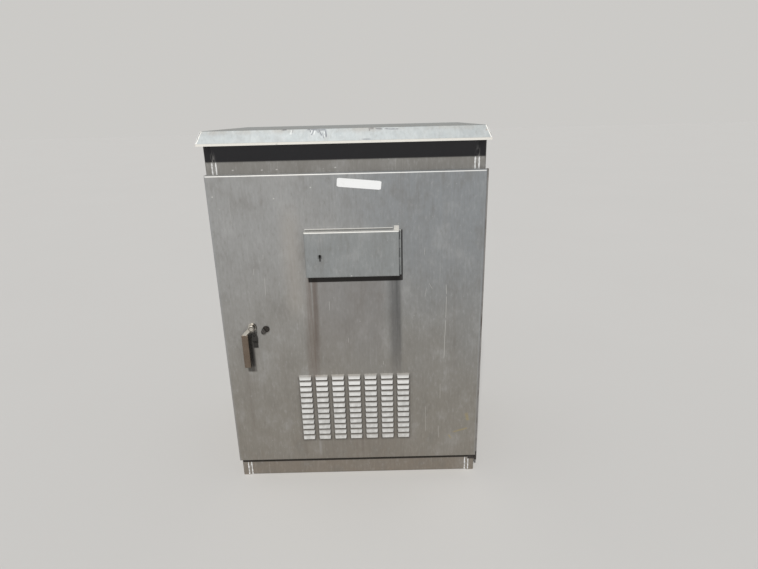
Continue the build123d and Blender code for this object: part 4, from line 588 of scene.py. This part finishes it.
def body_sheet():
    """Panels of the body; the header's leaning part is dark with a painted shadow of the hood and some grime,
    and a painted shadow line lies below the door.
    """
    s = Sheet("body_sheet")
    face = s.step(s.y, BODY_FACE + 0.004, BODY_FACE)
    base = s.weather(body_tone(s, face))
    base = s.splash(base, 0.0, 0.35, 0.34)
    base = s.scratch(base, 0.4)
    base = s.speckle(base, 0.5)
    # Painted shadow of the hood, with some grime, on the header's leaning part
    leaning = s.both(s.step(s.z, HEADER_KNEE - 0.002, HEADER_KNEE + 0.003), face)
    base = s.over(base, leaning, 0.95, HEADER_SHADOW_AND_GRIME)
    base = seam_marks(s, base, face, leaning)
    # Painted shadow of the door on the sill, below its foot
    under_door = s.between(s.z, DOOR_SHADE - 0.001, DOOR_SHADE + 0.002, DOOR_LOW.z, DOOR_LOW.z + 0.03)
    base = s.over(base, s.both(under_door, face), 0.88, PAINTED_SHADE)
    splashed = s.both(specks(s, HEADER_SPECKS, HEADER_SPECK_HALF), face)
    base = s.over(base, splashed, 0.7, SPATTER)
    return s.finish_sheet(base)


def lit_and_rubbed_edges(s, base, front):
    """The hood's lip and the front of its hips, rubbed bright, with a painted highlight."""
    # Painted highlight, with some wear, on the hood's lip and the front of its hips
    lip = s.both(s.step(s.z, LIP_TOP + 0.0005, LIP_TOP - 0.0015), s.step(s.noise(40.0), 0.10, 0.34))
    base = s.over(base, lip, 0.92, LIP_HIGHLIGHT_AND_WEAR)
    slope = HIP_RUN / (HOOD_HIGH.z - LIP_TOP)
    hip = s.math("ADD", s.math("ABSOLUTE", s.x), s.math("MULTIPLY", s.z, slope))
    hip_at = HOOD_HIGH.x + LIP_TOP * slope
    return s.over(base, s.both(s.step(hip, hip_at - 0.007, hip_at - 0.004), front), 0.80, HIGHLIGHT_AND_WEAR)


def roof_sheet():
    """The hood, washed pale, with drips from its front edge, dust by its top and edges rubbed bright with a
    painted highlight.
    """
    s = Sheet("roof_sheet")
    cloud = s.noise((16.0, 16.0, 22.0), detail=5.0, rough=0.65, distortion=0.6)
    base = s.weather(s.graded(cloud, 0.30, 0.70, *HOOD_TONES))
    front = s.step(s.y, HOOD_LOW.y + HIP_RUN + 0.008, HOOD_LOW.y + HIP_RUN)
    base = s.over(base, s.both(drips(s, DARK_DRIPS), front), 0.80, HOOD_DRIP)
    base = s.over(base, s.both(drips(s, PALE_DRIPS), front), 0.65, HOOD_WASH)
    base = s.over(base, s.both(segment(s, *RUST_SPOT, 0.005, 0.002), front), 0.5, HOOD_RUST)
    dust = s.both(s.step(s.z, HOOD_HIGH.z - 0.020, HOOD_HIGH.z - 0.004), s.step(s.mottle, 0.35, 0.65))
    base = s.over(base, dust, 0.35, HOOD_DUST)
    base = lit_and_rubbed_edges(s, base, front)
    return s.finish_sheet(s.scratch(base, 0.3), 0.53, 0.66)


# Doors

def police_leaf(s):
    """The police door and its strips, in front of the main door's skin."""
    return s.both(
        s.step(s.y, DOOR_FACE - 0.0005, DOOR_FACE - 0.0015),
        s.step(s.z, POLICE_LOW.z - 0.02, POLICE_LOW.z - 0.01),
        s.between(s.x, POLICE_LOW.x - 0.004, POLICE_LOW.x - 0.002, POLICE_HIGH.x, POLICE_HIGH.x + 0.001),
    )


def door_tone(s, leaf):
    """Neutral at the upper left, darker and bluer to the right as painted shade, browner towards the ground
    as a painted reflection of the ground; the leaf is even.
    """
    # Painted shade: darker and bluer towards the right
    tone = s.graded(s.wander(s.x, 0.5), *DOOR_SHADE_SPAN, DOOR_LEFT, DOOR_RIGHT_SHADED)
    # Painted warm reflection of the ground, towards the foot
    tone = s.graded(s.wander(s.z, 0.4), *DOOR_REFLECTION_SPAN, tone, DOOR_GROUND_REFLECTION)
    return s.over(tone, leaf, 1.0, LEAF_TONE)


def leaf_runs(s, base, ragged):
    """Brown runs from the police door's left end, dark grey ones from its right end, soil between."""
    fallen = s.math("SUBTRACT", POLICE_LOW.z, s.z)
    for left, right, low, soft, lean, is_ragged, share, colour in LEAF_RUNS:
        drift = s.math("ADD", s.x, s.math("MULTIPLY", fallen, lean))
        across = s.between(drift, left - soft, left + soft, right - soft, right + soft)
        down = s.between(s.z, low, low + RUN_FADE, POLICE_LOW.z - 0.01, POLICE_LOW.z + 0.002)
        run = s.both(across, down, ragged) if is_ragged else s.both(across, down)
        base = s.over(base, run, share, colour)
    return base


def door_stains_and_highlight(s, base):
    """A painted warm highlight in a column beside the police door, runs below it, and dirt below the louvres
    and the handle.
    """
    ragged = s.step(s.noise((120.0, 120.0, 2.0)), 0.22, 0.62)
    # Painted warm highlight in a column beside the police door
    column = s.both(s.band(s.x, COLUMN_X, COLUMN_HALF), s.between(s.z, *COLUMN_SPAN))
    base = s.over(base, column, 0.28, WARM_HIGHLIGHT_COLUMN)
    base = leaf_runs(s, base, ragged)
    foot = s.both(s.band(s.x, 0.0, FOOT_HALF), s.step(s.z, FOOT_TOP, FOOT_FULL), ragged)
    base = s.over(base, foot, 0.30, FOOT_DIRT)
    for x, colour in FOOT_STREAKS:
        streak = s.both(s.band(s.x, x, STREAK_HALF), s.between(s.z, *STREAK_SPAN))
        base = s.over(base, streak, 0.35, colour)
    below_handle = s.band(s.x, HANDLE_DIRT_X, HANDLE_DIRT_HALF)
    return s.over(base, s.both(below_handle, s.between(s.z, *HANDLE_DIRT_SPAN), ragged), 0.25, HANDLE_DIRT)


def louvre_field():
    """The corners of the box round all the louvres' hoods."""
    vertices = frame["nodes"]["main_door"].data.vertices
    proud = [v.co for v in vertices if v.co.y < DOOR_FACE - LOUVRE_PROUD / 2]
    return (
        Vector([min(place[axis] for place in proud) for axis in range(3)]),
        Vector([max(place[axis] for place in proud) for axis in range(3)]),
    )


def louvre_tones(s, base):
    """Grime and painted shade between the louvres, and their pressed hoods washed pale with a painted
    highlight and painted shade on their ends.
    """
    low, high = louvre_field()
    field = s.both(s.around(s.x, low.x, high.x, 0.0, 0.020), s.around(s.z, low.z, high.z, 0.0, 0.020))
    off_column = s.math("PINGPONG", s.x, LOUVRE_PITCH / 2)
    # Grime with painted shade over the louvres' field
    base = s.over(base, field, 0.30, LOUVRE_GRIME_AND_SHADE)
    near = s.step(off_column, LOUVRE_PITCH / 2, LOUVRE_HALF)
    # Painted shade in the gaps between the louvres' columns
    base = s.over(base, s.both(field, near), 0.62, LOUVRE_GAP_SHADE)
    # The hoods painted pale: washed metal with a painted highlight of their lit tops, brighter in the upper
    # rows; it fades where each hood rises from the skin
    proud = s.both(field, s.step(s.y, DOOR_FACE - 0.0010, DOOR_FACE - 0.0044))
    washed_and_lit = s.graded(s.noise(60.0), 0.30, 0.70, *LOUVRE_WASHED_AND_LIT)
    upper_rows_lit = s.step(s.z, high.z - 0.080, high.z - 0.020)
    base = s.over(base, proud, 0.92, s.over(washed_and_lit, upper_rows_lit, 0.6, LOUVRE_HIGHLIGHT))
    # Painted shade on the hoods' sloping ends
    slopes = s.step(s.math("ABSOLUTE", s.faces_right), 0.25, 0.60)
    ends = s.step(off_column, LOUVRE_HALF - 0.001, LOUVRE_HALF + 0.002)
    return s.over(base, s.both(proud, s.either(slopes, ends)), 0.80, LOUVRE_END_SHADE)


def leaf_shade(s, base, skin, leaf):
    """Painted shadow below the police door's foot and in the gap by its hinged edge, and painted shade in its
    keyhole.
    """
    # Painted shadow below the police door's foot and in the gap along its hinged edge
    foot = s.both(
        s.between(s.z, LEAF_SHADE - 0.001, LEAF_SHADE + 0.001, POLICE_LOW.z + 0.01, POLICE_LOW.z + 0.03),
        s.between(s.x, POLICE_LOW.x + 0.002, POLICE_LOW.x + 0.006, POLICE_HIGH.x, POLICE_HIGH.x + 0.003),
        skin,
    )
    edge = s.both(
        s.between(s.x, POLICE_HIGH.x, POLICE_HIGH.x + 0.0008, POLICE_HIGH.x + 0.004, POLICE_HIGH.x + 0.006),
        s.between(s.z, LEAF_SHADE, LEAF_SHADE + 0.002, POLICE_HIGH.z - 0.002, POLICE_HIGH.z + 0.001),
    )
    base = s.over(base, s.either(foot, edge), 0.92, PAINTED_SHADE)
    # Painted shade in the keyhole's hollow
    x = KEYHOLE.x
    z = KEYHOLE.z
    keyhole = s.either(
        segment(s, (x, z + KEYHOLE_HALF), (x, z - KEYHOLE_HALF), KEYHOLE_WIDTH, 0.0),
        segment(s, (x, z), (x, z - KEY_SLOT_DROP), KEY_SLOT_WIDTH, 0.0),
    )
    return s.over(base, s.both(keyhole, leaf), 0.96, PAINTED_SHADE)


def grip_shade(s, base, skin):
    """Skin behind the hanging grip, dark with handling grime and a painted shadow, a painted shadow line by
    its right edge, and painted shade on the eye.
    """
    across = s.between(s.x, HANDLE_LOW.x, HANDLE_LOW.x + 0.01, GRIP_RIGHT + 0.010, GRIP_RIGHT + 0.016)
    up = s.between(s.z, HANDLE_LOW.z - 0.034, HANDLE_LOW.z - 0.028, GRIP_TOP - 0.02, GRIP_TOP)
    # Handling grime and painted shadow of the grip on the skin behind it
    base = s.over(base, s.both(across, up, skin), 0.50, GRIME_AND_SHADE)
    # Painted shadow line by the grip's right edge
    line = s.between(s.x, GRIP_RIGHT - 0.006, GRIP_RIGHT - 0.002, GRIP_RIGHT + 0.007, GRIP_RIGHT + 0.012)
    beside = s.between(s.z, HANDLE_LOW.z - 0.016, HANDLE_LOW.z - 0.002, GRIP_TOP, GRIP_TOP + 0.006)
    base = s.over(base, s.both(line, beside, skin), 0.66, PAINTED_SHADE)
    # Painted shade of the hub on the padlock eye
    eye = s.both(
        s.step(s.y, DOOR_FACE + 0.0002, DOOR_FACE - 0.0004),
        s.around(s.x, EYE_LOW.x, EYE_HIGH.x, 0.0002, 0.0008),
        s.around(s.z, EYE_LOW.z, EYE_HIGH.z, 0.0002, 0.0008),
    )
    return s.over(base, eye, 0.90, PAINTED_SHADE)


def door_marks(s, base, leaf):
    """Scratches, specks, the yellow scrape low on the right, and painted highlights with some wear on the
    folds.
    """
    base = s.over(base, lines(s, LONG_SCRATCH, LONG_SCRATCH_WIDTH), 0.60, SCRATCHED)
    base = s.over(base, lines(s, SHORT_SCRATCHES, SHORT_SCRATCH_WIDTH), 0.42, SCRATCHED)
    base = s.over(base, specks(s, DOOR_SPECKS, DOOR_SPECK_HALF), 0.7, SPATTER)
    rubbed = s.step(s.noise(90.0), 0.28, 0.48)
    scrape = s.either(*[segment(s, start, end, width) for start, end, width in SCRAPES])
    base = s.over(base, s.both(scrape, rubbed), 0.70, YELLOW_SCRAPE)
    # Painted highlight, with some wear, on the door's top fold and the police door's top
    top_fold = s.step(s.z, DOOR_HIGH.z - 0.006, DOOR_HIGH.z - 0.002)
    leaf_top = s.both(s.step(s.z, POLICE_HIGH.z - 0.005, POLICE_HIGH.z - 0.001), leaf)
    base = s.over(base, s.either(top_fold, leaf_top), 0.70, HIGHLIGHT_AND_WEAR)
    # Painted bluish sheen on the door's side folds
    side_fold = s.step(s.math("ABSOLUTE", s.x), DOOR_HIGH.x - 0.010, DOOR_HIGH.x - 0.003)
    return s.over(base, side_fold, 0.25, SIDE_FOLD_SHEEN)


def door_sheet():
    """The door with its own history, and the cleaner police door and its strips in front of it."""
    s = Sheet("door_sheet")
    skin = s.step(s.y, DOOR_FACE - 0.0010, DOOR_FACE - 0.0005)
    leaf = police_leaf(s)
    base = s.weather(door_tone(s, leaf))
    worn = door_stains_and_highlight(s, base)
    worn = louvre_tones(s, worn)
    worn = leaf_shade(s, worn, skin, leaf)
    worn = grip_shade(s, worn, skin)
    worn = door_marks(s, worn, leaf)
    worn = s.splash(worn, 0.09, 0.30, 0.22)
    worn = s.scratch(worn, 0.3)
    worn = s.speckle(worn, 0.35)
    outside = s.step(s.y, DOOR_FACE + 0.0020, DOOR_FACE + 0.0010)
    return s.finish_sheet(s.mix(outside, base, worn))


# Other metals

def inner_sheet():
    """Cleaner mill aluminium, inside."""
    s = Shader("inner_sheet", 0.45, 0.7)
    grain = s.noise((16.0, 700.0, 700.0), detail=2.0)
    blotch = s.noise(6.0, detail=4.0)
    base = s.graded(blotch, 0.3, 0.7, *INNER_TONES)
    base = s.over(base, s.step(grain, 0.4, 0.8), 0.25, INNER_GRAIN)
    dust = s.step(s.noise(90.0, detail=2.0), 0.60, 0.75)
    base = s.over(base, dust, 0.18, INNER_DUST)
    return s.finish(base, (blotch, 0.36, 0.52), (grain, 0.00003, 0.4))


def hinge_steel():
    """Dull stainless blotched with brown grime and darkened in part as painted shade, with a painted shadow
    at the door's foot.
    """
    s = Shader("hinge_steel", 0.42, 0.85)
    grime = s.noise((140.0, 140.0, 22.0), detail=4.0)
    base = s.graded(grime, 0.42, 0.72, *HINGE_TONES)
    line = s.noise((60.0, 60.0, 900.0), detail=1.0)
    base = s.over(base, line, 0.12, HINGE_LINES)
    # Painted shadow of the door over the hinge's foot
    base = s.over(base, s.step(s.z, DOOR_LOW.z + 0.006, DOOR_LOW.z + 0.002), 0.85, GRIME_AND_SHADE)
    return s.finish(base, (grime, 0.34, 0.56), (line, 0.00003, 0.4))


def handle_steel():
    """Stainless: a grip with a painted brown reflection of the ground, a neck and hub with a painted
    highlight, and painted shade on all that faces right.
    """
    s = Shader("handle_steel", 0.24, 1.0)
    smudge = s.noise((40.0, 40.0, 25.0), detail=4.0, rough=0.6)
    fine = s.noise((1500.0, 1500.0, 80.0), detail=1.5)
    # Painted brown reflection of the ground on the grip
    grip = s.graded(smudge, 0.35, 0.7, *GRIP_REFLECTION_TONES)
    # Painted highlight on the neck and hub
    hub = s.graded(smudge, 0.35, 0.7, *HUB_HIGHLIGHT_TONES)
    away = s.distance(HANDLE_HIGH.x - HUB_R, HANDLE_HIGH.z - HUB_R)
    ring = s.band(away, HUB_RING_R, HUB_RING_WIDTH)
    hub = s.over(hub, ring, 0.85, GRIME_AND_SHADE)
    base = s.graded(s.z, GRIP_TOP - 0.001, GRIP_TOP + 0.001, grip, hub)
    base = s.over(base, s.step(fine, 0.55, 0.75), 0.15, HANDLE_GRAIN)
    # Painted shade on the faces that turn right, away from the light
    base = s.over(base, s.step(s.faces_right, 0.22, 0.45), 0.88, HANDLE_RIGHT_SHADE)
    return s.finish(base, (smudge, 0.20, 0.36), (fine, 0.00002, 0.4))


def plated_steel():
    """Zinc plate, dull and a little blotchy, with traces of rust."""
    s = Shader("plated_steel", 0.4, 0.9)
    spangle = s.cells(160.0)[1]
    grey = s.mix(0.12, ZINC, spangle)
    haze = s.noise(30.0, detail=4.0)
    base = s.graded(haze, 0.35, 0.7, grey, ZINC_HAZE)
    rust = s.step(s.noise(70.0, detail=5.0, rough=0.7), 0.66, 0.74)
    base = s.over(base, rust, 0.6, ZINC_RUST)
    return s.finish(base, (haze, 0.32, 0.55), (haze, 0.0001, 0.3))


def lock_metal():
    """Black finish, rubbed through in patches; the dust cover is rubbed grey all over."""
    s = Shader("lock_metal", 0.42, 0.7)
    rub = s.noise(260.0, detail=5.0, rough=0.65)
    patch = s.noise(95.0, detail=2.0)
    base = s.graded(patch, 0.3, 0.7, *LOCK_TONES)
    worn = s.both(s.step(rub, 0.52, 0.64), s.step(patch, 0.48, 0.66))
    base = s.over(base, worn, 0.50, LOCK_RUBBED)
    in_front = s.step(s.y, COVER_HIGH.y + 0.0004, COVER_HIGH.y)
    cover = s.both(in_front, s.step(s.z, COVER_LOW.z - 0.01, COVER_LOW.z - 0.009))
    grey = s.graded(rub, 0.35, 0.65, *COVER_TONES)
    return s.finish(s.over(base, cover, 0.80, grey), (rub, 0.30, 0.60), (rub, 0.0001, 0.5))


def lever_chrome():
    """Chrome with a faint haze."""
    s = Shader("lever_chrome", 0.12, 1.0)
    haze = s.noise(220.0)
    base = s.graded(haze, 0.4, 0.7, *CHROME_TONES)
    return s.finish(base, (haze, 0.07, 0.22))


def bus_metal():
    """Bare copper with brown tarnish."""
    s = Shader("bus_metal", 0.34, 0.95)
    tarnish = s.noise(45.0, detail=5.0, rough=0.65)
    draw = s.noise((25.0, 900.0, 900.0), detail=1.5)
    base = s.graded(tarnish, 0.35, 0.68, *COPPER_TONES)
    base = s.over(base, draw, 0.2, COPPER_BRIGHT)
    return s.finish(base, (tarnish, 0.24, 0.5), (draw, 0.00003, 0.5))


def weld_metal():
    """Ground-back weld: bright, brushed across the seam."""
    s = Shader("weld_metal", 0.40, 0.35)
    brush = s.noise((240.0, 240.0, 1400.0), detail=2.0)
    patch = s.noise((80.0, 80.0, 60.0))
    base = s.graded(patch, 0.40, 0.72, *WELD_TONES)
    base = s.over(base, brush, 0.25, WELD_BRUSHED)
    return s.finish(base, (brush, 0.28, 0.5), (brush, 0.0001, 0.5))


# Rubber, plastics, card and vinyl

def seal_rubber():
    """Closed-cell foam, faintly pitted and dusty."""
    s = Shader("seal_rubber", 0.85)
    pit = s.cells(700.0)[0]
    dust = s.noise(40.0, detail=4.0)
    base = s.graded(pit, 0.2, 0.6, *RUBBER_TONES)
    base = s.over(base, s.step(dust, 0.5, 0.75), 0.3, RUBBER_DUST)
    return s.finish(base, relief=(pit, 0.0004, 0.6))


def nylon():
    """Off-white nylon, yellowed in clouds."""
    s = Shader("nylon", 0.42)
    cloud = s.noise(35.0)
    mould = s.noise(600.0, detail=2.0)
    base = s.graded(cloud, 0.3, 0.7, *NYLON_TONES)
    base = s.over(base, s.step(mould, 0.55, 0.7), 0.12, NYLON_SPECKS)
    return s.finish(base, (cloud, 0.36, 0.52), (mould, 0.0001, 0.3))


def filter_card():
    """Fibre in a card frame, grey with dust in clouds."""
    s = Shader("filter_card", 0.9)
    fibre = s.noise(420.0, detail=5.0, rough=0.7)
    dust = s.noise(14.0, detail=4.0)
    base = s.graded(fibre, 0.3, 0.7, *CARD_TONES)
    base = s.over(base, s.step(dust, 0.35, 0.7), 0.5, CARD_DUST)
    return s.finish(base, relief=(fibre, 0.0005, 0.6))


def black_plastic(name, low, high):
    """Fine-grained black plastic, rougher and paler where it is dusty."""
    s = Shader(name, (low + high) / 2)
    spark = s.noise(1300.0, detail=2.0)
    dust = s.noise(50.0, detail=4.0)
    base = s.graded(spark, 0.35, 0.7, *PLASTIC_TONES)
    base = s.over(base, s.step(dust, 0.45, 0.75), 0.25, PLASTIC_DUST)
    return s.finish(base, (dust, low, high), (spark, 0.00008, 0.5))


def fan_plastic():
    return black_plastic("fan_plastic", 0.42, 0.62)


def switch_plastic():
    return black_plastic("switch_plastic", 0.18, 0.36)


def label_vinyl():
    """White sticker, soiled in patches."""
    s = Shader("label_vinyl", 0.45)
    soil = s.noise(60.0, detail=4.0)
    grain = s.noise(900.0, detail=2.0)
    base = s.over(VINYL, s.step(soil, 0.5, 0.8), 0.3, VINYL_SOIL)
    base = s.over(base, grain, 0.06, VINYL_GRAIN)
    return s.finish(base, (soil, 0.36, 0.55), (grain, 0.00004, 0.4))


def floor_finish():
    """A plain floor, clouded very faintly."""
    s = Shader("floor_finish", 0.9)
    darker = tuple(FLOOR_DARKER * part for part in FLOOR_COLOUR)
    return s.finish(s.mix(s.noise(0.8), FLOOR_COLOUR, darker))


# Dressing the CAD nodes

SLOT_MAKERS = (
    body_sheet, roof_sheet, door_sheet, inner_sheet, hinge_steel, handle_steel, plated_steel, lock_metal,
    seal_rubber, nylon, filter_card, fan_plastic, switch_plastic, lever_chrome, bus_metal,
)


def dress_nodes():
    """Each CAD node takes the finish of the material slot that the record gives it."""
    made = {maker.__name__: maker() for maker in SLOT_MAKERS}
    for row in frame["record"]["subparts"]:
        mesh = frame["nodes"][row["node"]].data
        mesh.materials.clear()
        mesh.materials.append(made[row["material_slot"]])
    return made


# Pieces of the scene's own

def piece(name, vertices, faces, material, body, smooth=False):
    """A mesh of its own that rides on a body."""
    mesh = bpy.data.meshes.new(name)
    mesh.from_pydata(vertices, [], faces)
    mesh.validate()
    if smooth:
        mesh.shade_smooth()
    obj = bpy.data.objects.new(name, mesh)
    bpy.context.scene.collection.objects.link(obj)
    mesh.materials.append(material)
    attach(obj, body)
    return obj


def bead(name, start, end, width, rise, outward, material, seed):
    """A ground weld: a low, slightly ragged ridge from start to end that stands off along outward."""
    shaky = random.Random(seed)
    start = Vector(start)
    end = Vector(end)
    along = (end - start).normalized()
    out = Vector(outward).normalized()
    across = along.cross(out).normalized()
    rows = max(8, int((end - start).length / WELD_STEP))
    vertices = []
    for i in range(rows + 1):
        centre = start.lerp(end, i / rows)
        half = width / 2 * shaky.uniform(0.60, 1.25)
        sway = width * shaky.uniform(-0.08, 0.08)
        for u, v in WELD_PROFILE:
            vertices.append(centre + across * (u * half + sway) + out * (v * rise))
    count = len(WELD_PROFILE)
    faces = [
        (i * count + j, i * count + j + 1, (i + 1) * count + j + 1, (i + 1) * count + j)
        for i in range(rows) for j in range(count - 1)
    ]
    faces.append(tuple(range(count)))
    faces.append(tuple(reversed(range(rows * count, rows * count + count))))
    return piece(name, vertices, faces, material, "cabinet", smooth=True)


def weld_seams(material):
    """The two pale lines at each end of the header and of the sill."""
    for side, side_name in ((-1, "left"), (1, "right")):
        for line, offset in enumerate((-SEAM_PAIR, SEAM_PAIR)):
            x = side * SEAM_X + offset
            name = f"weld_{side_name}_{line}"
            bead("sill_" + name, (x, BODY_FACE, SEAM_FOOT), (x, BODY_FACE, DOOR_SHADE),
                 WELD_WIDTH, WELD_RISE, (0, -1, 0), material, SILL_SEED + line)
            bead("header_" + name, (x, BODY_FACE, DOOR_HIGH.z - SEAM_HIDDEN), (x, BODY_FACE, HEADER_KNEE),
                 WELD_WIDTH, WELD_RISE, (0, -1, 0), material, HEADER_SEED + line)


def hip_weld(sx, sy, material):
    """A ground weld down one hip of the hood, from its top to its lip, kept within the hood's box."""
    x = HOOD_HIGH.x if sx > 0 else HOOD_LOW.x
    y = HOOD_HIGH.y if sy > 0 else HOOD_LOW.y
    top = HOOD_HIGH.z if sy < 0 else HOOD_HIGH.z - ROOF_FALL
    share = (top - LIP_TOP) / (HOOD_HIGH.z - LIP_TOP)
    high = (x - sx * HIP_RUN * share, y - sy * HIP_RUN * share, top)
    name = f"hip_weld_{'l' if sx < 0 else 'r'}{'f' if sy < 0 else 'b'}"
    weld = bead(name, (x, y, LIP_TOP), high, HIP_WELD_WIDTH, HIP_WELD_RISE, (sx, sy, 0.6), material,
                HIP_SEED + sx + 3 * sy)
    for vertex in weld.data.vertices:
        for axis in range(3):
            vertex.co[axis] = min(max(vertex.co[axis], HOOD_LOW[axis]), HOOD_HIGH[axis])


def hip_welds(material):
    """The welds of all four hips."""
    for sx in (-1, 1):
        for sy in (-1, 1):
            hip_weld(sx, sy, material)


def label(material):
    """White sticker with round corners, thin and very slightly lifted at its ends."""
    vertices = []
    for i in range(LABEL_STEPS + 1):
        u = (i / LABEL_STEPS - 0.5) * LABEL_WIDTH
        edge = max(0.0, abs(u) - (LABEL_WIDTH / 2 - LABEL_CORNER))
        half = LABEL_HEIGHT / 2 - (LABEL_CORNER - sqrt(max(0.0, LABEL_CORNER ** 2 - edge ** 2)))
        lift = LABEL_LIFT * (abs(u) / (LABEL_WIDTH / 2)) ** 6
        for v, depth in ((-half, 0.0), (half, 0.0), (half, LABEL_THICK), (-half, LABEL_THICK)):
            x = LABEL_X + u * cos(LABEL_TILT) - v * sin(LABEL_TILT)
            z = LABEL_Z + u * sin(LABEL_TILT) + v * cos(LABEL_TILT)
            vertices.append((x, DOOR_FACE - depth - lift * (1 if depth else 0.3), z))
    faces = []
    for a in range(0, 4 * LABEL_STEPS, 4):
        for j in range(4):
            k = (j + 1) % 4
            faces.append((a + j, a + 4 + j, a + 4 + k, a + k))
    faces.append((0, 1, 2, 3))
    last = 4 * LABEL_STEPS
    faces.append((last + 3, last + 2, last + 1, last))
    return piece("blank_label", vertices, faces, material, "door")


def dome(name, centre, axis, head, material, body):
    """A low round head, such as a rivet or a pan-head screw."""
    radius, rise = head
    turn = Vector(axis).normalized().to_track_quat("Z", "Y").to_matrix().to_4x4()
    place = Matrix.Translation(Vector(centre)) @ turn
    vertices = []
    for r, h in HEAD_RINGS:
        for i in range(HEAD_SIDES):
            angle = 2 * pi * i / HEAD_SIDES
            vertices.append(place @ Vector((radius * r * cos(angle), radius * r * sin(angle), rise * h)))
    vertices.append(place @ Vector((0, 0, rise)))
    faces = []
    for k in range(len(HEAD_RINGS) - 1):
        for i in range(HEAD_SIDES):
            j = (i + 1) % HEAD_SIDES
            low = k * HEAD_SIDES
            high = low + HEAD_SIDES
            faces.append((low + i, low + j, high + j, high + i))
    top = (len(HEAD_RINGS) - 1) * HEAD_SIDES
    apex = len(vertices) - 1
    faces += [(top + i, top + (i + 1) % HEAD_SIDES, apex) for i in range(HEAD_SIDES)]
    faces.append(tuple(reversed(range(HEAD_SIDES))))
    return piece(name, vertices, faces, material, body, smooth=True)


def fasteners(made):
    """The door's small plug, and the screws of the fan and of the back board."""
    steel = made["plated_steel"]
    plug = (DOOR_PLUG_X, DOOR_FACE, DOOR_PLUG_Z)
    dome("door_plug", plug, (0, -1, 0), DOOR_PLUG_HEAD, made["door_sheet"], "door")
    low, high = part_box("fan_frame")
    fan_x = (low.x + high.x) / 2
    fan_y = (low.y + high.y) / 2
    half = (high.x - low.x) / 2 - FAN_SCREW_INSET
    for sx in (-1, 1):
        for sy in (-1, 1):
            place = (fan_x + sx * half, fan_y + sy * half, high.z - FAN_SCREW_DEPTH)
            name = f"fan_screw_{sx + 1}{sy + 1}"
            dome(name, place, (0, 0, -1), FAN_SCREW_HEAD, steel, "cabinet")
    low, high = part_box("back_board")
    inset = BOARD_SCREW_INSET
    for x in (low.x + inset, 0.0, high.x - inset):
        for z in (low.z + inset, (low.z + high.z) / 2, high.z - inset):
            name = f"board_screw_{int(1000 * x) + 500}_{int(1000 * z)}"
            dome(name, (x, low.y, z), (0, -1, 0), BOARD_SCREW_HEAD, steel, "cabinet")


# Floor, light and camera

def light_world(tree):
    """Soft sky light; the camera, mirrors and glass see a plain pale backdrop in its place."""
    sky = tree.nodes["Background"]
    sky.inputs["Color"].default_value = (*SKY, 1.0)
    sky.inputs["Strength"].default_value = SKY_STRENGTH
    backdrop = tree.nodes.new("ShaderNodeBackground")
    backdrop.inputs["Color"].default_value = (*BACKDROP, 1.0)
    path = tree.nodes.new("ShaderNodeLightPath")
    seen = path.outputs["Is Camera Ray"]
    for ray in ("Is Glossy Ray", "Is Transmission Ray"):
        most = tree.nodes.new("ShaderNodeMath")
        most.operation = "MAXIMUM"
        tree.links.new(seen, most.inputs[0])
        tree.links.new(path.outputs[ray], most.inputs[1])
        seen = most.outputs[0]
    mix = tree.nodes.new("ShaderNodeMixShader")
    tree.links.new(seen, mix.inputs[0])
    tree.links.new(sky.outputs[0], mix.inputs[1])
    tree.links.new(backdrop.outputs[0], mix.inputs[2])
    tree.links.new(mix.outputs[0], tree.nodes["World Output"].inputs["Surface"])


def studio():
    """A wide floor, soft sky light and a sun from the front, a little to the left."""
    bpy.ops.mesh.primitive_plane_add(size=FLOOR_SIZE, location=(0, 0, 0))
    floor = bpy.context.object
    floor.name = "floor"
    floor.data.materials.append(floor_finish())
    world = bpy.data.worlds.new("studio")
    bpy.context.scene.world = world
    world.use_nodes = True
    light_world(world.node_tree)
    sun = bpy.data.objects.new("key", bpy.data.lights.new("key", "SUN"))
    bpy.context.scene.collection.objects.link(sun)
    sun.data.energy = SUN_STRENGTH
    sun.data.angle = SUN_SOFTNESS
    towards = Vector((
        -sin(SUN_FROM_LEFT) * cos(SUN_ELEVATION), -cos(SUN_FROM_LEFT) * cos(SUN_ELEVATION), sin(SUN_ELEVATION)
    ))
    sun.rotation_euler = towards.to_track_quat("Z", "Y").to_euler()


def camera():
    """The photograph's own view, worked out from the door's corners."""
    right = Vector((1, 0, 0))
    ahead = Vector((0, cos(CAMERA_PITCH), -sin(CAMERA_PITCH)))
    down = Vector((0, -sin(CAMERA_PITCH), -cos(CAMERA_PITCH)))
    image_right = right * cos(CAMERA_ROLL) + down * sin(CAMERA_ROLL)
    image_down = down * cos(CAMERA_ROLL) - right * sin(CAMERA_ROLL)
    view = bpy.data.objects.new("camera", bpy.data.cameras.new("camera"))
    bpy.context.scene.collection.objects.link(view)
    view.data.sensor_width = SENSOR_WIDTH
    view.data.lens = PHOTO_LENS
    view.data.clip_start = CLIP_START
    matrix = Matrix((image_right, -image_down, -ahead)).transposed().to_4x4()
    matrix.translation = Vector(CAMERA_PLACE)
    view.matrix_world = matrix
    bpy.context.scene.camera = view


made = dress_nodes()
weld = weld_metal()
weld_seams(weld)
hip_welds(weld)
label(label_vinyl())
fasteners(made)
studio()
camera()
bpy.context.scene.view_settings.view_transform = "Standard"
